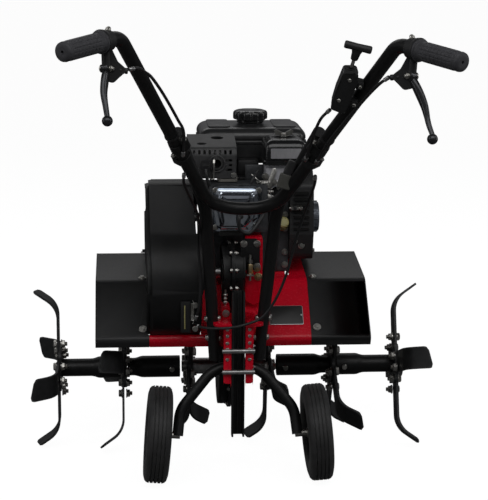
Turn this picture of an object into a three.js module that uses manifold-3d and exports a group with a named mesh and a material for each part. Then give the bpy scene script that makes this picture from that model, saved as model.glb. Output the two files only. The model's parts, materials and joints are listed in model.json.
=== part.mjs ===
// Front-tine petrol tiller with fold-down transport wheels, a drag stake and a moto-style handlebar.
// Millimetres, +Z up, +Y is forward travel, the operator stands at -Y.
import * as THREE from 'three';
import { mergeVertices } from 'three/addons/utils/BufferGeometryUtils.js';
import Module from 'manifold-3d';

const wasm = await Module();
wasm.setup();

// ---------------------------------------------------------------- driving dimensions

const GAP = 0.4; // clearance between touching pieces
const REAR_X = 5; // the hitch, handles and wheels sit slightly right of the chain case

// tine rotor
const AXLE_Z = 178;
const HUB_X = [88, 230, 372];
const TUBE_R = 19.5;
const SLEEVE_R = 24;
const SHAFT_R = 13;
const PLATE_HALF = 44;
const BLADE_W = 48;
const BLADE_T = 5;
const BLADE_BEND_R = 50;
const BLADE_BEND = THREE.MathUtils.degToRad(55);
const BLADE_STRAIGHT = 116;
const BLADE_TIP = 33;
const BLADE_BEND_SHORT = THREE.MathUtils.degToRad(38);
const BLADE_TIP_SHORT = 28;

// transmission: axle centre, input shaft centre and crank centre in the Y-Z plane
const AXLE = [0, AXLE_Z];
const INPUT = [-105, 416];
const CRANK = [30, 510];
const CASE_LOW_R = 84;
const CASE_TOP_R = 62;
const CASE_HALF_W = 20;
const CASE_WALL = 3.5;
const CHAIN_LOW_R = 60;
const CHAIN_TOP_R = 20;
const CRANK_PULLEY_R = 34;
const DRIVEN_PULLEY_R = 62;
const IDLER_PIVOT = [5, 572];
const BELT_X = -100;
const BELT_W = 11;
const BELT_T = 8;
const GUARD_LEFT = -181;
const GUARD_RIGHT = -69;
const GUARD_LOW = [-110, 401]; // centre of the guard's lower round, just behind the driven pulley
const GUARD_TOP_R = 84;
const GUARD_LOW_R = 124;
const GUARD_STEP = 8; // the closed end is pressed inwards all round by this much
const GUARD_STEP_X = 9;
const ROTOR_CLEAR_R = 189; // everything fixed near the tines stays outside this radius

// engine
const ENGINE_BASE_Z = 404;
const TANK = { x0: -66, x1: 171, y0: 6, y1: 176, z0: 630, z1: 710 };
const SHROUD_X = 126; // inner face of the fan shroud
const PULL = { x: 152, y: 142, z: 590 }; // recoil grip

// mudguard profile and width
const FENDER_HALF_W = 291;
const SEAM_LEFT = -178;
const SEAM_RIGHT = 164;
const FENDER_T = 2.5;
const OUTLET_X = -33; // exhaust outlet, in the back of the muffler guard
const FENDER = [[172, 372], [92, 418], [-85, 394], [-189, 290], [-180, 272]];

// handles
const HANDLE_R = 12.7;
const HANDLE_BORE_R = 11;
const BAR_SLOPE = THREE.MathUtils.degToRad(43);
const BAR_LOW_Y = -335;
const BAR_LOW_Z = 596;
const BAR_CORNER_X = 63;
const BAR_SPLAY = 0.328; // sideways run for each millimetre up the bar
const BAR_LENGTH = 528;
const BAR_ROLL = THREE.MathUtils.degToRad(1.3); // the bar sits slightly askew in its clamps
const BAR_YAW = THREE.MathUtils.degToRad(-1.5);
const BAR_ROLL_Z = 760;
const CLAMP_Y = -481;
const PIVOT_S = 200; // distance of the clamps up the bar
const GRIP_END = [321, -850, 940];
const LEVER_HUB = [256, -756, 906];
const LEVER_TIPS = { left: [252, -801, 824], right: [290, -799, 806] }; // the left bracket is turned inwards
const BOX_AT = [157, -638, 871];
const BOX_TURN = [29, 12, 0];
const LEVER_AXIS = new THREE.Vector3(-0.69, -0.46, 0.06).normalize();

// wheels and stake
const WHEEL_R = 101.6;
const WHEEL_HALF_W = 25;
const WHEEL_X = 167;
const WHEEL_Y = -240;
const WHEEL_Z = 100;
const CAMBER = THREE.MathUtils.degToRad(4.5);
const BRACKET_R = 11.5;
const BRACKET_Y = -196;
const BRACKET_Z = 234;
const STAKE_HALF_W = 13.5;
const STAKE_BACK_Y = -247;
const STAKE_FRONT_Y = -223;

// ---------------------------------------------------------------- materials

/** Plain finish used for a whole piece. */
function paint(color, roughness, metalness) {
  return new THREE.MeshStandardMaterial({ color, roughness, metalness });
}

const BLACK_COAT = paint(0x161718, 0.45, 0.1);
const RED = paint(0x9c0b22, 0.3, 0.1);
const STEEL = paint(0x9a9c9e, 0.35, 0.9);
const ALLOY = paint(0x85888c, 0.45, 0.8);
const POLISHED = paint(0xc3cad2, 0.15, 0.95);
const PLASTIC = paint(0x191a1b, 0.55, 0);
const RUBBER = paint(0x2b2b2e, 0.8, 0);
const GUARD_GREY = paint(0x3b3c3d, 0.5, 0.3);
const TINE_STEEL = paint(0x2a2b2d, 0.45, 0.4);

// ---------------------------------------------------------------- solids

/** Turn a closed geometry into a solid, facing outwards. */
function solid(geometry) {
  const bare = geometry.index ? geometry.toNonIndexed() : geometry.clone();
  bare.deleteAttribute('normal');
  bare.deleteAttribute('uv');
  const welded = mergeVertices(bare, 1e-3);
  const position = welded.attributes.position;
  const index = welded.index.array;
  const corner = [new THREE.Vector3(), new THREE.Vector3(), new THREE.Vector3()];
  const faces = [];
  let volume = 0;
  for (let i = 0; i < index.length; i += 3) {
    const [a, b, c] = [index[i], index[i + 1], index[i + 2]];
    if (a === b || b === c || c === a) continue;
    faces.push([a, b, c]);
    [a, b, c].forEach((v, n) => corner[n].fromBufferAttribute(position, v));
    volume += corner[0].dot(corner[1].cross(corner[2]));
  }
  const wound = volume < 0 ? faces.map(([a, b, c]) => [a, c, b]) : faces;
  return new wasm.Manifold(new wasm.Mesh({
    numProp: 3,
    vertProperties: new Float32Array(position.array),
    triVerts: new Uint32Array(wound.flat()),
  }));
}

/** Buffer geometry of a solid. */
function geometryOf(shape) {
  const mesh = shape.getMesh();
  const geometry = new THREE.BufferGeometry();
  geometry.setAttribute('position', new THREE.BufferAttribute(mesh.vertProperties, 3));
  geometry.setIndex(new THREE.BufferAttribute(mesh.triVerts, 1));
  return geometry;
}

/** Union of solids. */
function join(...shapes) {
  return shapes.reduce((all, one) => all.add(one));
}

/** First solid with the others taken away. */
function cut(shape, ...tools) {
  return tools.reduce((left, tool) => left.subtract(tool), shape);
}

/** Block between two corners, one pair of limits per axis. */
function box(x0, x1, y0, y1, z0, z1) {
  const geometry = new THREE.BoxGeometry(x1 - x0, y1 - y0, z1 - z0);
  return solid(geometry.translate((x0 + x1) / 2, (y0 + y1) / 2, (z0 + z1) / 2));
}

/** Cylinder along an axis, from one end to the other, centred on two cross coordinates. */
function rod(axis, radius, from, to, u, v, sides = 16) {
  const geometry = new THREE.CylinderGeometry(radius, radius, to - from, sides);
  const middle = (from + to) / 2;
  if (axis === 'x') geometry.rotateZ(-Math.PI / 2).translate(middle, u, v);
  if (axis === 'y') geometry.translate(u, middle, v);
  if (axis === 'z') geometry.rotateX(Math.PI / 2).translate(u, v, middle);
  return solid(geometry);
}

/** Extrude a Y-Z outline along X. */
function slabX(shape, x0, x1, curveSegments = 6) {
  const geometry = new THREE.ExtrudeGeometry(shape, { depth: x1 - x0, bevelEnabled: false, curveSegments });
  const turn = new THREE.Matrix4().makeBasis(
    new THREE.Vector3(0, 1, 0), new THREE.Vector3(0, 0, 1), new THREE.Vector3(1, 0, 0));
  return solid(geometry.applyMatrix4(turn).translate(x0, 0, 0));
}

/** Extrude an X-Z outline along Y. */
function slabY(shape, y0, y1, curveSegments = 6) {
  const geometry = new THREE.ExtrudeGeometry(shape, { depth: y1 - y0, bevelEnabled: false, curveSegments });
  return solid(geometry.rotateX(Math.PI / 2).translate(0, y1, 0));
}

/** Extrude an X-Y outline along Z. */
function slabZ(shape, z0, z1, curveSegments = 6) {
  const geometry = new THREE.ExtrudeGeometry(shape, { depth: z1 - z0, bevelEnabled: false, curveSegments });
  return solid(geometry.translate(0, 0, z0));
}

/** Turn a profile of [radius, x] points about the X axis at the given centre. */
function turnedX(profile, y, z, sides = 24) {
  const points = profile.map(([r, x]) => new THREE.Vector2(r, x));
  const geometry = new THREE.LatheGeometry(points, sides);
  return solid(geometry.rotateZ(-Math.PI / 2).translate(0, y, z));
}

/** Closed outline through the given points. */
function polygon(points) {
  return new THREE.Shape(points.map(([u, v]) => new THREE.Vector2(u, v)));
}

/** Rectangle outline with rounded corners. */
function roundedRect(u0, u1, v0, v1, radius) {
  const shape = new THREE.Shape();
  shape.moveTo(u0 + radius, v0);
  shape.lineTo(u1 - radius, v0);
  shape.absarc(u1 - radius, v0 + radius, radius, -Math.PI / 2, 0);
  shape.lineTo(u1, v1 - radius);
  shape.absarc(u1 - radius, v1 - radius, radius, 0, Math.PI / 2);
  shape.lineTo(u0 + radius, v1);
  shape.absarc(u0 + radius, v1 - radius, radius, Math.PI / 2, Math.PI);
  shape.lineTo(u0, v0 + radius);
  shape.absarc(u0 + radius, v0 + radius, radius, Math.PI, 1.5 * Math.PI);
  return shape;
}

/** Outline of a band around two circles, as a belt lies round two pulleys. */
function bandOutline([u0, v0], r0, [u1, v1], r1, steps = 10) {
  const heading = Math.atan2(v1 - v0, u1 - u0);
  const open = Math.acos((r0 - r1) / Math.hypot(u1 - u0, v1 - v0));
  const points = [];
  for (let i = 0; i <= steps; i++) {
    const a = heading + open + (i / steps) * (2 * Math.PI - 2 * open);
    points.push([u0 + r0 * Math.cos(a), v0 + r0 * Math.sin(a)]);
  }
  for (let i = 0; i <= steps; i++) {
    const a = heading - open + (i / steps) * 2 * open;
    points.push([u1 + r1 * Math.cos(a), v1 + r1 * Math.sin(a)]);
  }
  return polygon(points);
}

/** A route of straight runs with each corner eased over the given length. */
function bentRoute(points, ease) {
  const route = new THREE.CurvePath();
  const at = points.map((p) => new THREE.Vector3(...p));
  let from = at[0];
  for (let i = 1; i < at.length - 1; i++) {
    const reach = Array.isArray(ease) ? ease[i - 1] : ease;
    const before = at[i].clone().add(at[i - 1].clone().sub(at[i]).setLength(reach));
    const after = at[i].clone().add(at[i + 1].clone().sub(at[i]).setLength(reach));
    if (from.distanceTo(before) > 0.5) route.add(new THREE.LineCurve3(from, before));
    route.add(new THREE.QuadraticBezierCurve3(before, at[i], after));
    from = after;
  }
  route.add(new THREE.LineCurve3(from, at.at(-1)));
  return route;
}

/** Round tube or bar along a route. */
function tube(route, radius, steps, sides = 12, bore = 0, boreSides = 8) {
  const section = new THREE.Shape(ring(radius, sides));
  if (bore) section.holes.push(new THREE.Path(ring(bore, boreSides)));
  return solid(new THREE.ExtrudeGeometry(section, { steps, extrudePath: route }));
}

/** Regular outline standing in for a circle. */
function ring(radius, sides) {
  return Array.from({ length: sides }, (_, i) => {
    const a = (i / sides) * 2 * Math.PI;
    return new THREE.Vector2(radius * Math.cos(a), radius * Math.sin(a));
  });
}

/** A sheet that follows a Y-Z profile, extruded along X. */
function sheet(profile, thickness, x0, x1) {
  const under = profile.map(([y, z], i) => {
    const [ya, za] = profile[Math.max(i - 1, 0)];
    const [yb, zb] = profile[Math.min(i + 1, profile.length - 1)];
    const run = Math.hypot(yb - ya, zb - za);
    return [y + (thickness * -(zb - za)) / run, z + (thickness * (yb - ya)) / run];
  });
  return slabX(polygon([...profile, ...under.reverse()]), x0, x1);
}

/** Adds one named piece to an assembly. */
function place(group, name, shape, material) {
  const mesh = new THREE.Mesh(geometryOf(shape), material);
  mesh.name = name;
  group.add(mesh);
  return mesh;
}

// ---------------------------------------------------------------- chain case and transmission

/** One pressed half of the sealed chain case, flanged along the seam. */
function caseHalf(side) {
  const flange = bandOutline(AXLE, CASE_LOW_R + 8, INPUT, CASE_TOP_R + 8, 9);
  const outer = bandOutline(AXLE, CASE_LOW_R, INPUT, CASE_TOP_R, 9);
  const inner = bandOutline(AXLE, CASE_LOW_R - CASE_WALL, INPUT, CASE_TOP_R - CASE_WALL, 9);
  const span = (a, b) => (side < 0 ? [-b, -a] : [a, b]);
  const shell = join(slabX(flange, ...span(GAP / 2, 3)), slabX(outer, ...span(1, CASE_HALF_W)));
  const axleBore = rod('x', SHAFT_R + GAP, -60, 60, ...AXLE, 20);
  const inputBore = rod('x', 10 + GAP, -60, 60, ...INPUT, 20);
  const cavity = slabX(inner, ...span(-1, CASE_HALF_W - CASE_WALL));
  return side < 0 ? cut(shell, cavity, axleBore, inputBore) : cut(shell, cavity, axleBore);
}

/** Drive chain as one closed band round both sprockets. */
function chainLoop() {
  const half = 4;
  const outer = bandOutline(AXLE, CHAIN_LOW_R + half, INPUT, CHAIN_TOP_R + half, 12);
  const inner = bandOutline(AXLE, CHAIN_LOW_R - half, INPUT, CHAIN_TOP_R - half, 12);
  return cut(slabX(outer, -4, 4), slabX(inner, -6, 6));
}

/** Drive belt as one closed band round both pulleys. */
function beltLoop() {
  const half = BELT_T / 2;
  const outer = bandOutline(INPUT, DRIVEN_PULLEY_R + half, CRANK, CRANK_PULLEY_R + half, 14);
  const inner = bandOutline(INPUT, DRIVEN_PULLEY_R - half, CRANK, CRANK_PULLEY_R - half, 14);
  return cut(
    slabX(outer, BELT_X - BELT_W / 2, BELT_X + BELT_W / 2),
    slabX(inner, BELT_X - BELT_W, BELT_X + BELT_W));
}

/** Pulley with one groove wide enough for the belt and a bore for its shaft. */
function pulley(pitch, bore, [y, z]) {
  const floor = pitch - BELT_T / 2 - 1;
  const rim = pitch + BELT_T / 2 + 2;
  const half = BELT_W / 2 + 1;
  return turnedX([
    [bore, BELT_X - 12], [rim, BELT_X - 12], [rim, BELT_X - half - 2], [floor, BELT_X - half],
    [floor, BELT_X + half], [rim, BELT_X + half + 2], [rim, BELT_X + 12], [bore, BELT_X + 12],
    [bore, BELT_X - 12],
  ], y, z, 28);
}

/** Toothed wheel as a disc with a saw-tooth rim, inside the chain loop. */
function sprocket(radius, teeth, bore, [y, z]) {
  const points = [];
  for (let i = 0; i < teeth * 2; i++) {
    const a = (i / (teeth * 2)) * 2 * Math.PI;
    const r = i % 2 ? radius - 3 : radius;
    points.push([y + r * Math.cos(a), z + r * Math.sin(a)]);
  }
  const disc = slabX(polygon(points), -3, 3);
  const boss = rod('x', bore + 7, -9, 9, y, z, 16);
  return bore ? cut(join(disc, boss), rod('x', bore, -20, 20, y, z, 20)) : disc;
}

/** Shaft that carries the driven pulley outside the case and the upper sprocket inside it. */
function inputShaft() {
  const shaft = rod('x', 10, -125, 15, ...INPUT, 20);
  return join(shaft, sprocket(CHAIN_TOP_R - 5, 9, 0, INPUT), rod('x', 12, 5, 14, ...INPUT, 16));
}

/** Hollow drum over the belt drive, open towards the machine and stepped at its closed end. */
function beltGuard() {
  const wall = 2.5;
  const outline = (inset) => bandOutline(GUARD_LOW, GUARD_LOW_R - inset, CRANK, GUARD_TOP_R - inset, 14);
  const drum = GUARD_LEFT + GUARD_STEP_X;
  const shell = join(slabX(outline(0), drum, GUARD_RIGHT), slabX(outline(GUARD_STEP), GUARD_LEFT, drum + 1));
  const space = join(
    slabX(outline(wall), drum + wall, GUARD_RIGHT + 5),
    slabX(outline(GUARD_STEP + wall), GUARD_LEFT + wall, drum + 4));
  const rotorSide = (r) => rod('x', r, GUARD_LEFT - 9, GUARD_RIGHT + 9, ...AXLE, 48);
  const hollow = cut(space, rotorSide(ROTOR_CLEAR_R + wall));
  return cut(shell, rotorSide(ROTOR_CLEAR_R), hollow);
}

/** Swinging arm with the roller that tightens the belt. */
function idlerArm() {
  const pivot = IDLER_PIVOT;
  const roller = [-64, 537];
  const arm = slabX(bandOutline(pivot, 10, roller, 8, 6), -88, -84);
  const wheel = rod('x', 13, BELT_X - 8, BELT_X + 8, ...roller, 16);
  const pin = rod('x', 5, BELT_X - 9, -83, ...roller, 10);
  const stud = rod('x', 6, -88, -60, ...pivot, 12);
  return join(arm, wheel, pin, stud);
}

// ---------------------------------------------------------------- tine rotor

/** Position along the blade: straight out, then bent sideways by the given angle. */
function bladePoint(u, bend) {
  if (u <= BLADE_STRAIGHT) return [u, 0, 0];
  const a = Math.min((u - BLADE_STRAIGHT) / BLADE_BEND_R, bend);
  const rest = Math.max(u - BLADE_STRAIGHT - BLADE_BEND_R * bend, 0);
  const r = BLADE_STRAIGHT + BLADE_BEND_R * Math.sin(a) + rest * Math.cos(bend);
  const x = BLADE_BEND_R * (1 - Math.cos(a)) + rest * Math.sin(bend);
  return [r, x, a];
}

/** One blade pointing along -Z from the hub centre, its tip bent towards the sign of side. */
function blade(side, direction, bend, tip) {
  const root = 16;
  const length = BLADE_STRAIGHT + BLADE_BEND_R * bend + tip - root;
  const geometry = new THREE.BoxGeometry(BLADE_W, length, BLADE_T, 1, 9, 1);
  const position = geometry.attributes.position;
  for (let i = 0; i < position.count; i++) {
    const across = position.getX(i);
    const through = position.getZ(i);
    const u = position.getY(i) + length / 2 + root;
    const slant = THREE.MathUtils.smoothstep(u, length - tip, length + root);
    const [r, x, a] = bladePoint(u + (slant * 12 * across) / BLADE_W, bend);
    const sideways = x + through * Math.cos(a);
    position.setXYZ(i, side * sideways, across, -(r - through * Math.sin(a)));
  }
  return solid(geometry.rotateX(direction));
}

/** Four bent blades on a square hub plate. Those of an inner star bend both ways, and less far. */
function tineStar(side, inner, bore) {
  const plate = slabX(roundedRect(-PLATE_HALF, PLATE_HALF, -PLATE_HALF, PLATE_HALF, 10), -3, 3, 3);
  const blades = [0, 1, 2, 3].map((i) => {
    const [away, bend, tip] = !inner ? [side, BLADE_BEND, BLADE_TIP]
      : i % 2 ? [side, BLADE_BEND_SHORT, BLADE_TIP_SHORT] : [-side, BLADE_BEND, BLADE_TIP_SHORT];
    return blade(away, (i * Math.PI) / 2, bend, tip).translate([away * (1.5 + BLADE_T / 2), 0, 0]);
  });
  const star = join(plate, ...blades);
  return cut(star, rod('x', bore, -40, 40, 0, 0, 20));
}

/** Steel tube that carries a hub plate at its outer end and grips its neighbour with a sleeve. */
function rotorTube(from, neck, to, bore) {
  return turnedX([
    [bore, from], [SLEEVE_R, from], [SLEEVE_R, neck], [TUBE_R, neck + 12], [TUBE_R, to], [bore, to],
    [bore, from],
  ], 0, 0, 20);
}

/** Left-handed copy of a right-handed solid. */
function mirrorX(shape) {
  return shape.mirror([1, 0, 0]);
}

const SIDES = [['left', -1], ['right', 1]];
// angle of the blade that faces the operator, below the horizontal, from the centre outwards
const PHASES = { left: [30, -20, 0], right: [8, 30, -20] };

/** Tine shaft with its sprocket, four carriers and their tines, turning as one body. */
function buildRotor(group) {
  const rotor = new THREE.Group();
  rotor.position.set(0, ...AXLE);
  const shaft = join(
    rod('x', SHAFT_R, -104, 104, 0, 0, 20), rod('x', SHAFT_R + 5, 25, 79, 0, 0, 16),
    rod('x', SHAFT_R + 5, -79, -25, 0, 0, 16));
  place(rotor, 'tine_shaft', shaft, STEEL);
  place(rotor, 'lower_sprocket', sprocket(CHAIN_LOW_R - 5.2, 27, SHAFT_R + 0.3, [0, 0]), STEEL);
  for (const [name, side] of SIDES) {
    const inner = rotorTube(108, 196, 224, SHAFT_R + 0.5);
    const outer = rotorTube(240, 290, 380, SHAFT_R + 0.5);
    place(rotor, `inner_tube_${name}`, side < 0 ? mirrorX(inner) : inner, BLACK_COAT);
    place(rotor, `outer_tube_${name}`, side < 0 ? mirrorX(outer) : outer, BLACK_COAT);
    ['inner', 'middle', 'outer'].forEach((where, i) => {
      const bore = i === 2 ? TUBE_R + GAP : SHAFT_R + GAP;
      const star = place(rotor, `tines_${where}_${name}`, tineStar(side, i === 0, bore), TINE_STEEL);
      star.position.x = side * HUB_X[i];
      star.rotation.x = THREE.MathUtils.degToRad(PHASES[name][i]);
    });
  }
  group.add(rotor);
}

// ---------------------------------------------------------------- chassis

/** Room for the chain case and its flange in the pieces around it. */
function caseClearance(room) {
  return slabX(bandOutline(AXLE, CASE_LOW_R + room, INPUT, CASE_TOP_R + room, 9), -22, 22);
}

/** Channel under the engine, bolted to the chain case. */
function engineBase() {
  const base = box(-50, 120, -55, 130, ENGINE_BASE_Z - 12, ENGINE_BASE_Z - GAP);
  const neck = box(26, 62, -140, -40, ENGINE_BASE_Z - 12, ENGINE_BASE_Z - 6);
  const wall = box(26, 62, -146, -138, ENGINE_BASE_Z - 40, 498);
  const shelf = box(26, 62, -146, -70, 492, 498);
  const rib = box(26, 31, -142, -70, ENGINE_BASE_Z - 8, 496);
  return cut(join(base, neck, wall, shelf, rib), caseClearance(12));
}

/** Rear bracket with a slot for the stake and a flat face each side for the handle tubes. */
function hitchBracket() {
  const x = REAR_X;
  const flange = [-1, 1].map((s) => {
    const inner = x + s * (STAKE_HALF_W + 1);
    const outer = x + s * 31;
    const [a, b] = s < 0 ? [outer, inner] : [inner, outer];
    const face = slabY(roundedRect(a, b, 206, 340, 8), -248, -244, 4);
    const web = box(Math.min(inner, inner + s * 4), Math.max(inner, inner + s * 4), -246, -132, 272, 338);
    return join(face, web);
  });
  const shelf = cut(
    slabZ(roundedRect(x - 52, x + 52, -258, -154, 10), 334, 340, 4),
    box(x - STAKE_HALF_W - 1, x + STAKE_HALF_W + 1, -270, -216, 300, 360),
    box(x - 60, x - 38, -242, -200, 300, 360), box(x + 38, x + 60, -242, -200, 300, 360));
  const back = box(x - 17, x + 17, -160, -154, 285, 338);
  return cut(join(...flange, shelf, back), caseClearance(9));
}

/** Middle length of the mudguard, cut away round the neck, the hitch and the belt guard. */
function fenderCentre() {
  const sheetPiece = sheet(FENDER, FENDER_T, SEAM_LEFT + GAP, SEAM_RIGHT - GAP);
  const guardGap = box(GUARD_LEFT - 8, GUARD_RIGHT + 1.5, -200, 84, 296.5, 430);
  const engineGap = box(-62, SHROUD_X + 2, -57, 134, 385, 430);
  const neckGap = box(23, 65, -100, -50, 385, 430);
  const hitchGap = box(REAR_X - 21, REAR_X + 21, -200, -129, 260, 350);
  return cut(sheetPiece, guardGap, engineGap, neckGap, hitchGap, caseClearance(11));
}

/** Outer length of the mudguard with its end plate. */
function fenderEnd(side) {
  const [inner, outer] = side < 0 ? [-FENDER_HALF_W, SEAM_LEFT - GAP] : [SEAM_RIGHT + GAP, FENDER_HALF_W];
  const skin = sheet(FENDER, FENDER_T, inner, outer);
  const edge = side < 0 ? [inner, inner + FENDER_T] : [outer - FENDER_T, outer];
  const outerLine = [[170, 372], [92, 417], [-85, 393], [-188, 289]];
  const innerLine = [[-171, 276], [-80, 372], [92, 397], [165, 358]];
  const fold = slabX(polygon([...outerLine, ...innerLine]), ...edge);
  const whole = join(skin, fold);
  return side < 0 ? cut(whole, box(GUARD_LEFT - 1.5, GUARD_RIGHT + 1.5, -200, 84, 296.5, 430)) : whole;
}

/** Lower handle tube, from the hitch up to the clamp. */
function lowerTube(side) {
  const lift = 31;
  const along = (s) => {
    const [x, y, z] = barPoint(s);
    return [REAR_X + side * x, y + lift * Math.sin(BAR_SLOPE), z + lift * Math.cos(BAR_SLOPE)];
  };
  const route = bentRoute([[REAR_X + side * 46, -196, 251], [REAR_X + side * 71.5, -299, 595],
    along(PIVOT_S + 16)], 45);
  return tube(route, HANDLE_R, 16, 10, HANDLE_BORE_R, 6);
}

// ---------------------------------------------------------------- engine

/** Engine block with the crank bore. */
function crankcase() {
  const profile = [[-55, ENGINE_BASE_Z], [112, ENGINE_BASE_Z], [112, 560], [92, 584], [-30, 584], [-55, 560]];
  const block = slabX(polygon(profile), -54, SHROUD_X - GAP);
  const barrel = box(-36, 62, -58, -40, 508, 606);
  const boss = rod('x', 34, -66, -50, ...CRANK, 20);
  return cut(join(block, barrel, boss), rod('x', 15.5, -80, 150, ...CRANK, 20), caseClearance(10));
}

/** Cylinder barrel and head with their fins. */
function cylinderHead() {
  const core = box(-34, 60, -130, -58 - GAP, 512, 600);
  const fins = [0, 1, 2, 3, 4, 5].map((i) => box(-50, 74, -124 + i * 11, -119 + i * 11, 506, 608));
  return join(core, ...fins);
}

/** Pressed cover over the valve gear, hollow behind. */
function rockerCover() {
  const base = slabY(roundedRect(-45, 61, 505, 609, 18), -138, -130 - GAP, 4);
  const dome = slabY(roundedRect(-38, 54, 513, 602, 16), -158, -136, 4);
  return join(base, dome);
}

/** Blower housing over the flywheel. */
function fanShroud() {
  const outline = (t) => polygon([[-66 + t, 432 + t], [124 - t, 432 + t], [138 - t, 520], [122 - t, 600 - t],
    [100 - t, 626 - t], [-46 + t, 626 - t], [-74 + t, 596 - t], [-80 + t, 490]]);
  return cut(slabX(outline(0), SHROUD_X, 178), slabX(outline(3), SHROUD_X - 9, 175),
    rod('x', 62, 170, 185, ...CRANK, 24), rod('y', 4, 90, 150, PULL.x, PULL.z, 12));
}

/** Round starter cover with an opening for the cord. */
function recoilCover() {
  return cut(
    turnedX([[0, 178.5], [88, 178.5], [88, 181], [40, 183], [35, 186], [32, 200], [0, 200]], ...CRANK, 24),
    turnedX([[0, 170], [34, 170], [33, 184], [29, 197], [0, 197]], ...CRANK, 24));
}

/** Pull grip with the first stretch of its rope, which runs in through the shroud's front. */
function recoilHandle() {
  const { x, y, z } = PULL;
  const bar = rod('x', 9, x - 24, x + 24, y, z, 12);
  return join(bar, rod('y', 3, y - 78, y, x, z, 8));
}

/** Hollow tank with a flanged seam and a filler neck. */
function fuelTank() {
  const { x0, x1, y0, y1, z0, z1 } = TANK;
  const wall = 2.5;
  const body = slabY(roundedRect(x0, x1, z0, z1, 26), y0, y1, 5);
  const corners = slabZ(roundedRect(x0, x1, y0, y1, 26), z0 - 5, z1 + 5, 5);
  const lip = slabY(roundedRect(x0 + 4, x1 - 4, z0 + 4, z1 - 4, 24), y0 - 6, y0 + 12, 5);
  const hollow = slabY(roundedRect(x0 + wall, x1 - wall, z0 + wall, z1 - wall, 24), y0 + wall, y1 - wall, 5);
  const neck = rod('z', 27, z1 - 4, z1 + 9, 52, 90, 20);
  return cut(join(body.intersect(corners), lip, neck), hollow.intersect(slabZ(
    roundedRect(x0 + wall, x1 - wall, y0 + wall, y1 - wall, 24), z0 - 5, z1 + 5, 5)),
  rod('z', 23, z1 - 20, z1 + 20, 52, 90, 20));
}

/** Screw cap over the filler neck. */
function fuelCap() {
  const lobes = 10;
  const points = Array.from({ length: lobes * 4 }, (_, i) => {
    const a = (i / (lobes * 4)) * 2 * Math.PI;
    const r = 36 + 2.2 * Math.cos(lobes * a);
    return [r * Math.cos(a), r * Math.sin(a)];
  });
  const top = slabZ(polygon(points), 9, 30);
  const plug = cut(rod('z', 30, 1, 12, 0, 0, 20), rod('z', 27.6, -5, 10, 0, 0, 20));
  return join(top, plug);
}

/** Silencer drum with its outlet stub. */
function muffler() {
  const drum = slabY(roundedRect(-80, -4, 626, 668, 20), -84, -14, 5);
  return join(drum, rod('y', 10, -104, -80, OUTLET_X, 650, 14), box(-38, -8, -80, -50, 609, 630));
}

/** Perforated heat guard round the silencer. */
function mufflerGuard() {
  const side = (w) => polygon([[-98 + w, 617], [-98 + w, 668], [-90 + w, 682 - w], [-3 - w, 700 - w],
    [-3 - w, 617]]);
  const shell = cut(slabX(side(0), -94, 9), slabX(side(2), -92, 7), box(-92, 7, -96, -5, 600, 625));
  const slots = Array.from({ length: 8 }, (_, i) => {
    const x = -82 + i * 10.8;
    return box(x, x + 4, -112, -80, 664, 672);
  });
  const vents = [0, 1, 2].map((i) => box(-16, -4, -112, -94, 633 + i * 11, 637 + i * 11));
  const outlet = rod('y', 16, -120, -90, OUTLET_X, 650, 16);
  return cut(shell, ...slots, ...vents, outlet);
}

/** Carburettor body, float bowl and air horn. */
function carburettor() {
  const body = box(80, 106, -106, -62, 566, 614);
  const bowl = rod('z', 17, 542, 570, 93, -84, 16);
  const base = box(70, SHROUD_X - 1, -106, -20, 611, 646);
  const bore = rod('y', 12, -116, -100, 93, 590, 14);
  return join(body, bowl, base, bore);
}

/** Air filter box with its lid, hollow below. */
function filterCover() {
  const outline = roundedRect(66, 158, -118, -8, 16);
  const lower = slabZ(outline, 646.5, 680, 4);
  const upper = slabZ(roundedRect(72, 152, -108, -10, 16), 678, 700, 4);
  return cut(join(lower, upper), slabZ(roundedRect(69, 155, -115, -11, 14), 640, 676, 4));
}

// ---------------------------------------------------------------- handlebar

/** Point on the right-hand centre line of the bar, at a distance up its sloping plane. */
function barPoint(s) {
  return [
    BAR_CORNER_X + BAR_SPLAY * s, BAR_LOW_Y - s * Math.cos(BAR_SLOPE), BAR_LOW_Z + s * Math.sin(BAR_SLOPE)];
}

/** Upper handlebar: one tube bent from grip to grip. */
function upperBar() {
  const mirrored = ([x, y, z]) => [-x, y, z];
  const right = [barPoint(0), barPoint(BAR_LENGTH), GRIP_END];
  const route = bentRoute([...right.map(mirrored).reverse(), ...right], [22, 62, 62, 22]);
  return tube(route, HANDLE_R, 52, 10, HANDLE_BORE_R, 6);
}

/** Frame along the grip: origin on the bar end, z pointing back towards the bend. */
function gripFrame() {
  const end = new THREE.Vector3(...GRIP_END);
  const inward = new THREE.Vector3(...barPoint(BAR_LENGTH)).sub(end).normalize();
  const turn = new THREE.Quaternion().setFromUnitVectors(new THREE.Vector3(0, 0, 1), inward);
  return { end, turn };
}

/** Moves a solid from the grip frame to the bar frame. */
function inGripFrame(shape) {
  const { end, turn } = gripFrame();
  const matrix = new THREE.Matrix4().compose(end, turn, new THREE.Vector3(1, 1, 1));
  return shape.transform(matrix.elements);
}

/** Rubber sleeve over the end of the bar. */
function grip() {
  const sleeve = join(rod('z', 17, -5, 104, 0, 0, 16), rod('z', 19.5, 97, 104, 0, 0, 16));
  return inGripFrame(cut(sleeve, rod('z', HANDLE_R + GAP, -GAP, 130, 0, 0, 16), rod('z', 4, -9, 3, 0, 0, 8)));
}

/** Lever bracket clamped round the bar next to the grip. */
function perch() {
  const clamp = inGripFrame(rod('z', 18, 107, 125, 0, 0, 16));
  const lug = box(251, 259, -764, -750, 916, 946);
  return cut(join(clamp, lug), inGripFrame(rod('z', HANDLE_R + 1, -20, 160, 0, 0, 16)),
    inGripFrame(rod('z', 21, 50, 105, 0, 0, 16)));
}

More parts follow.
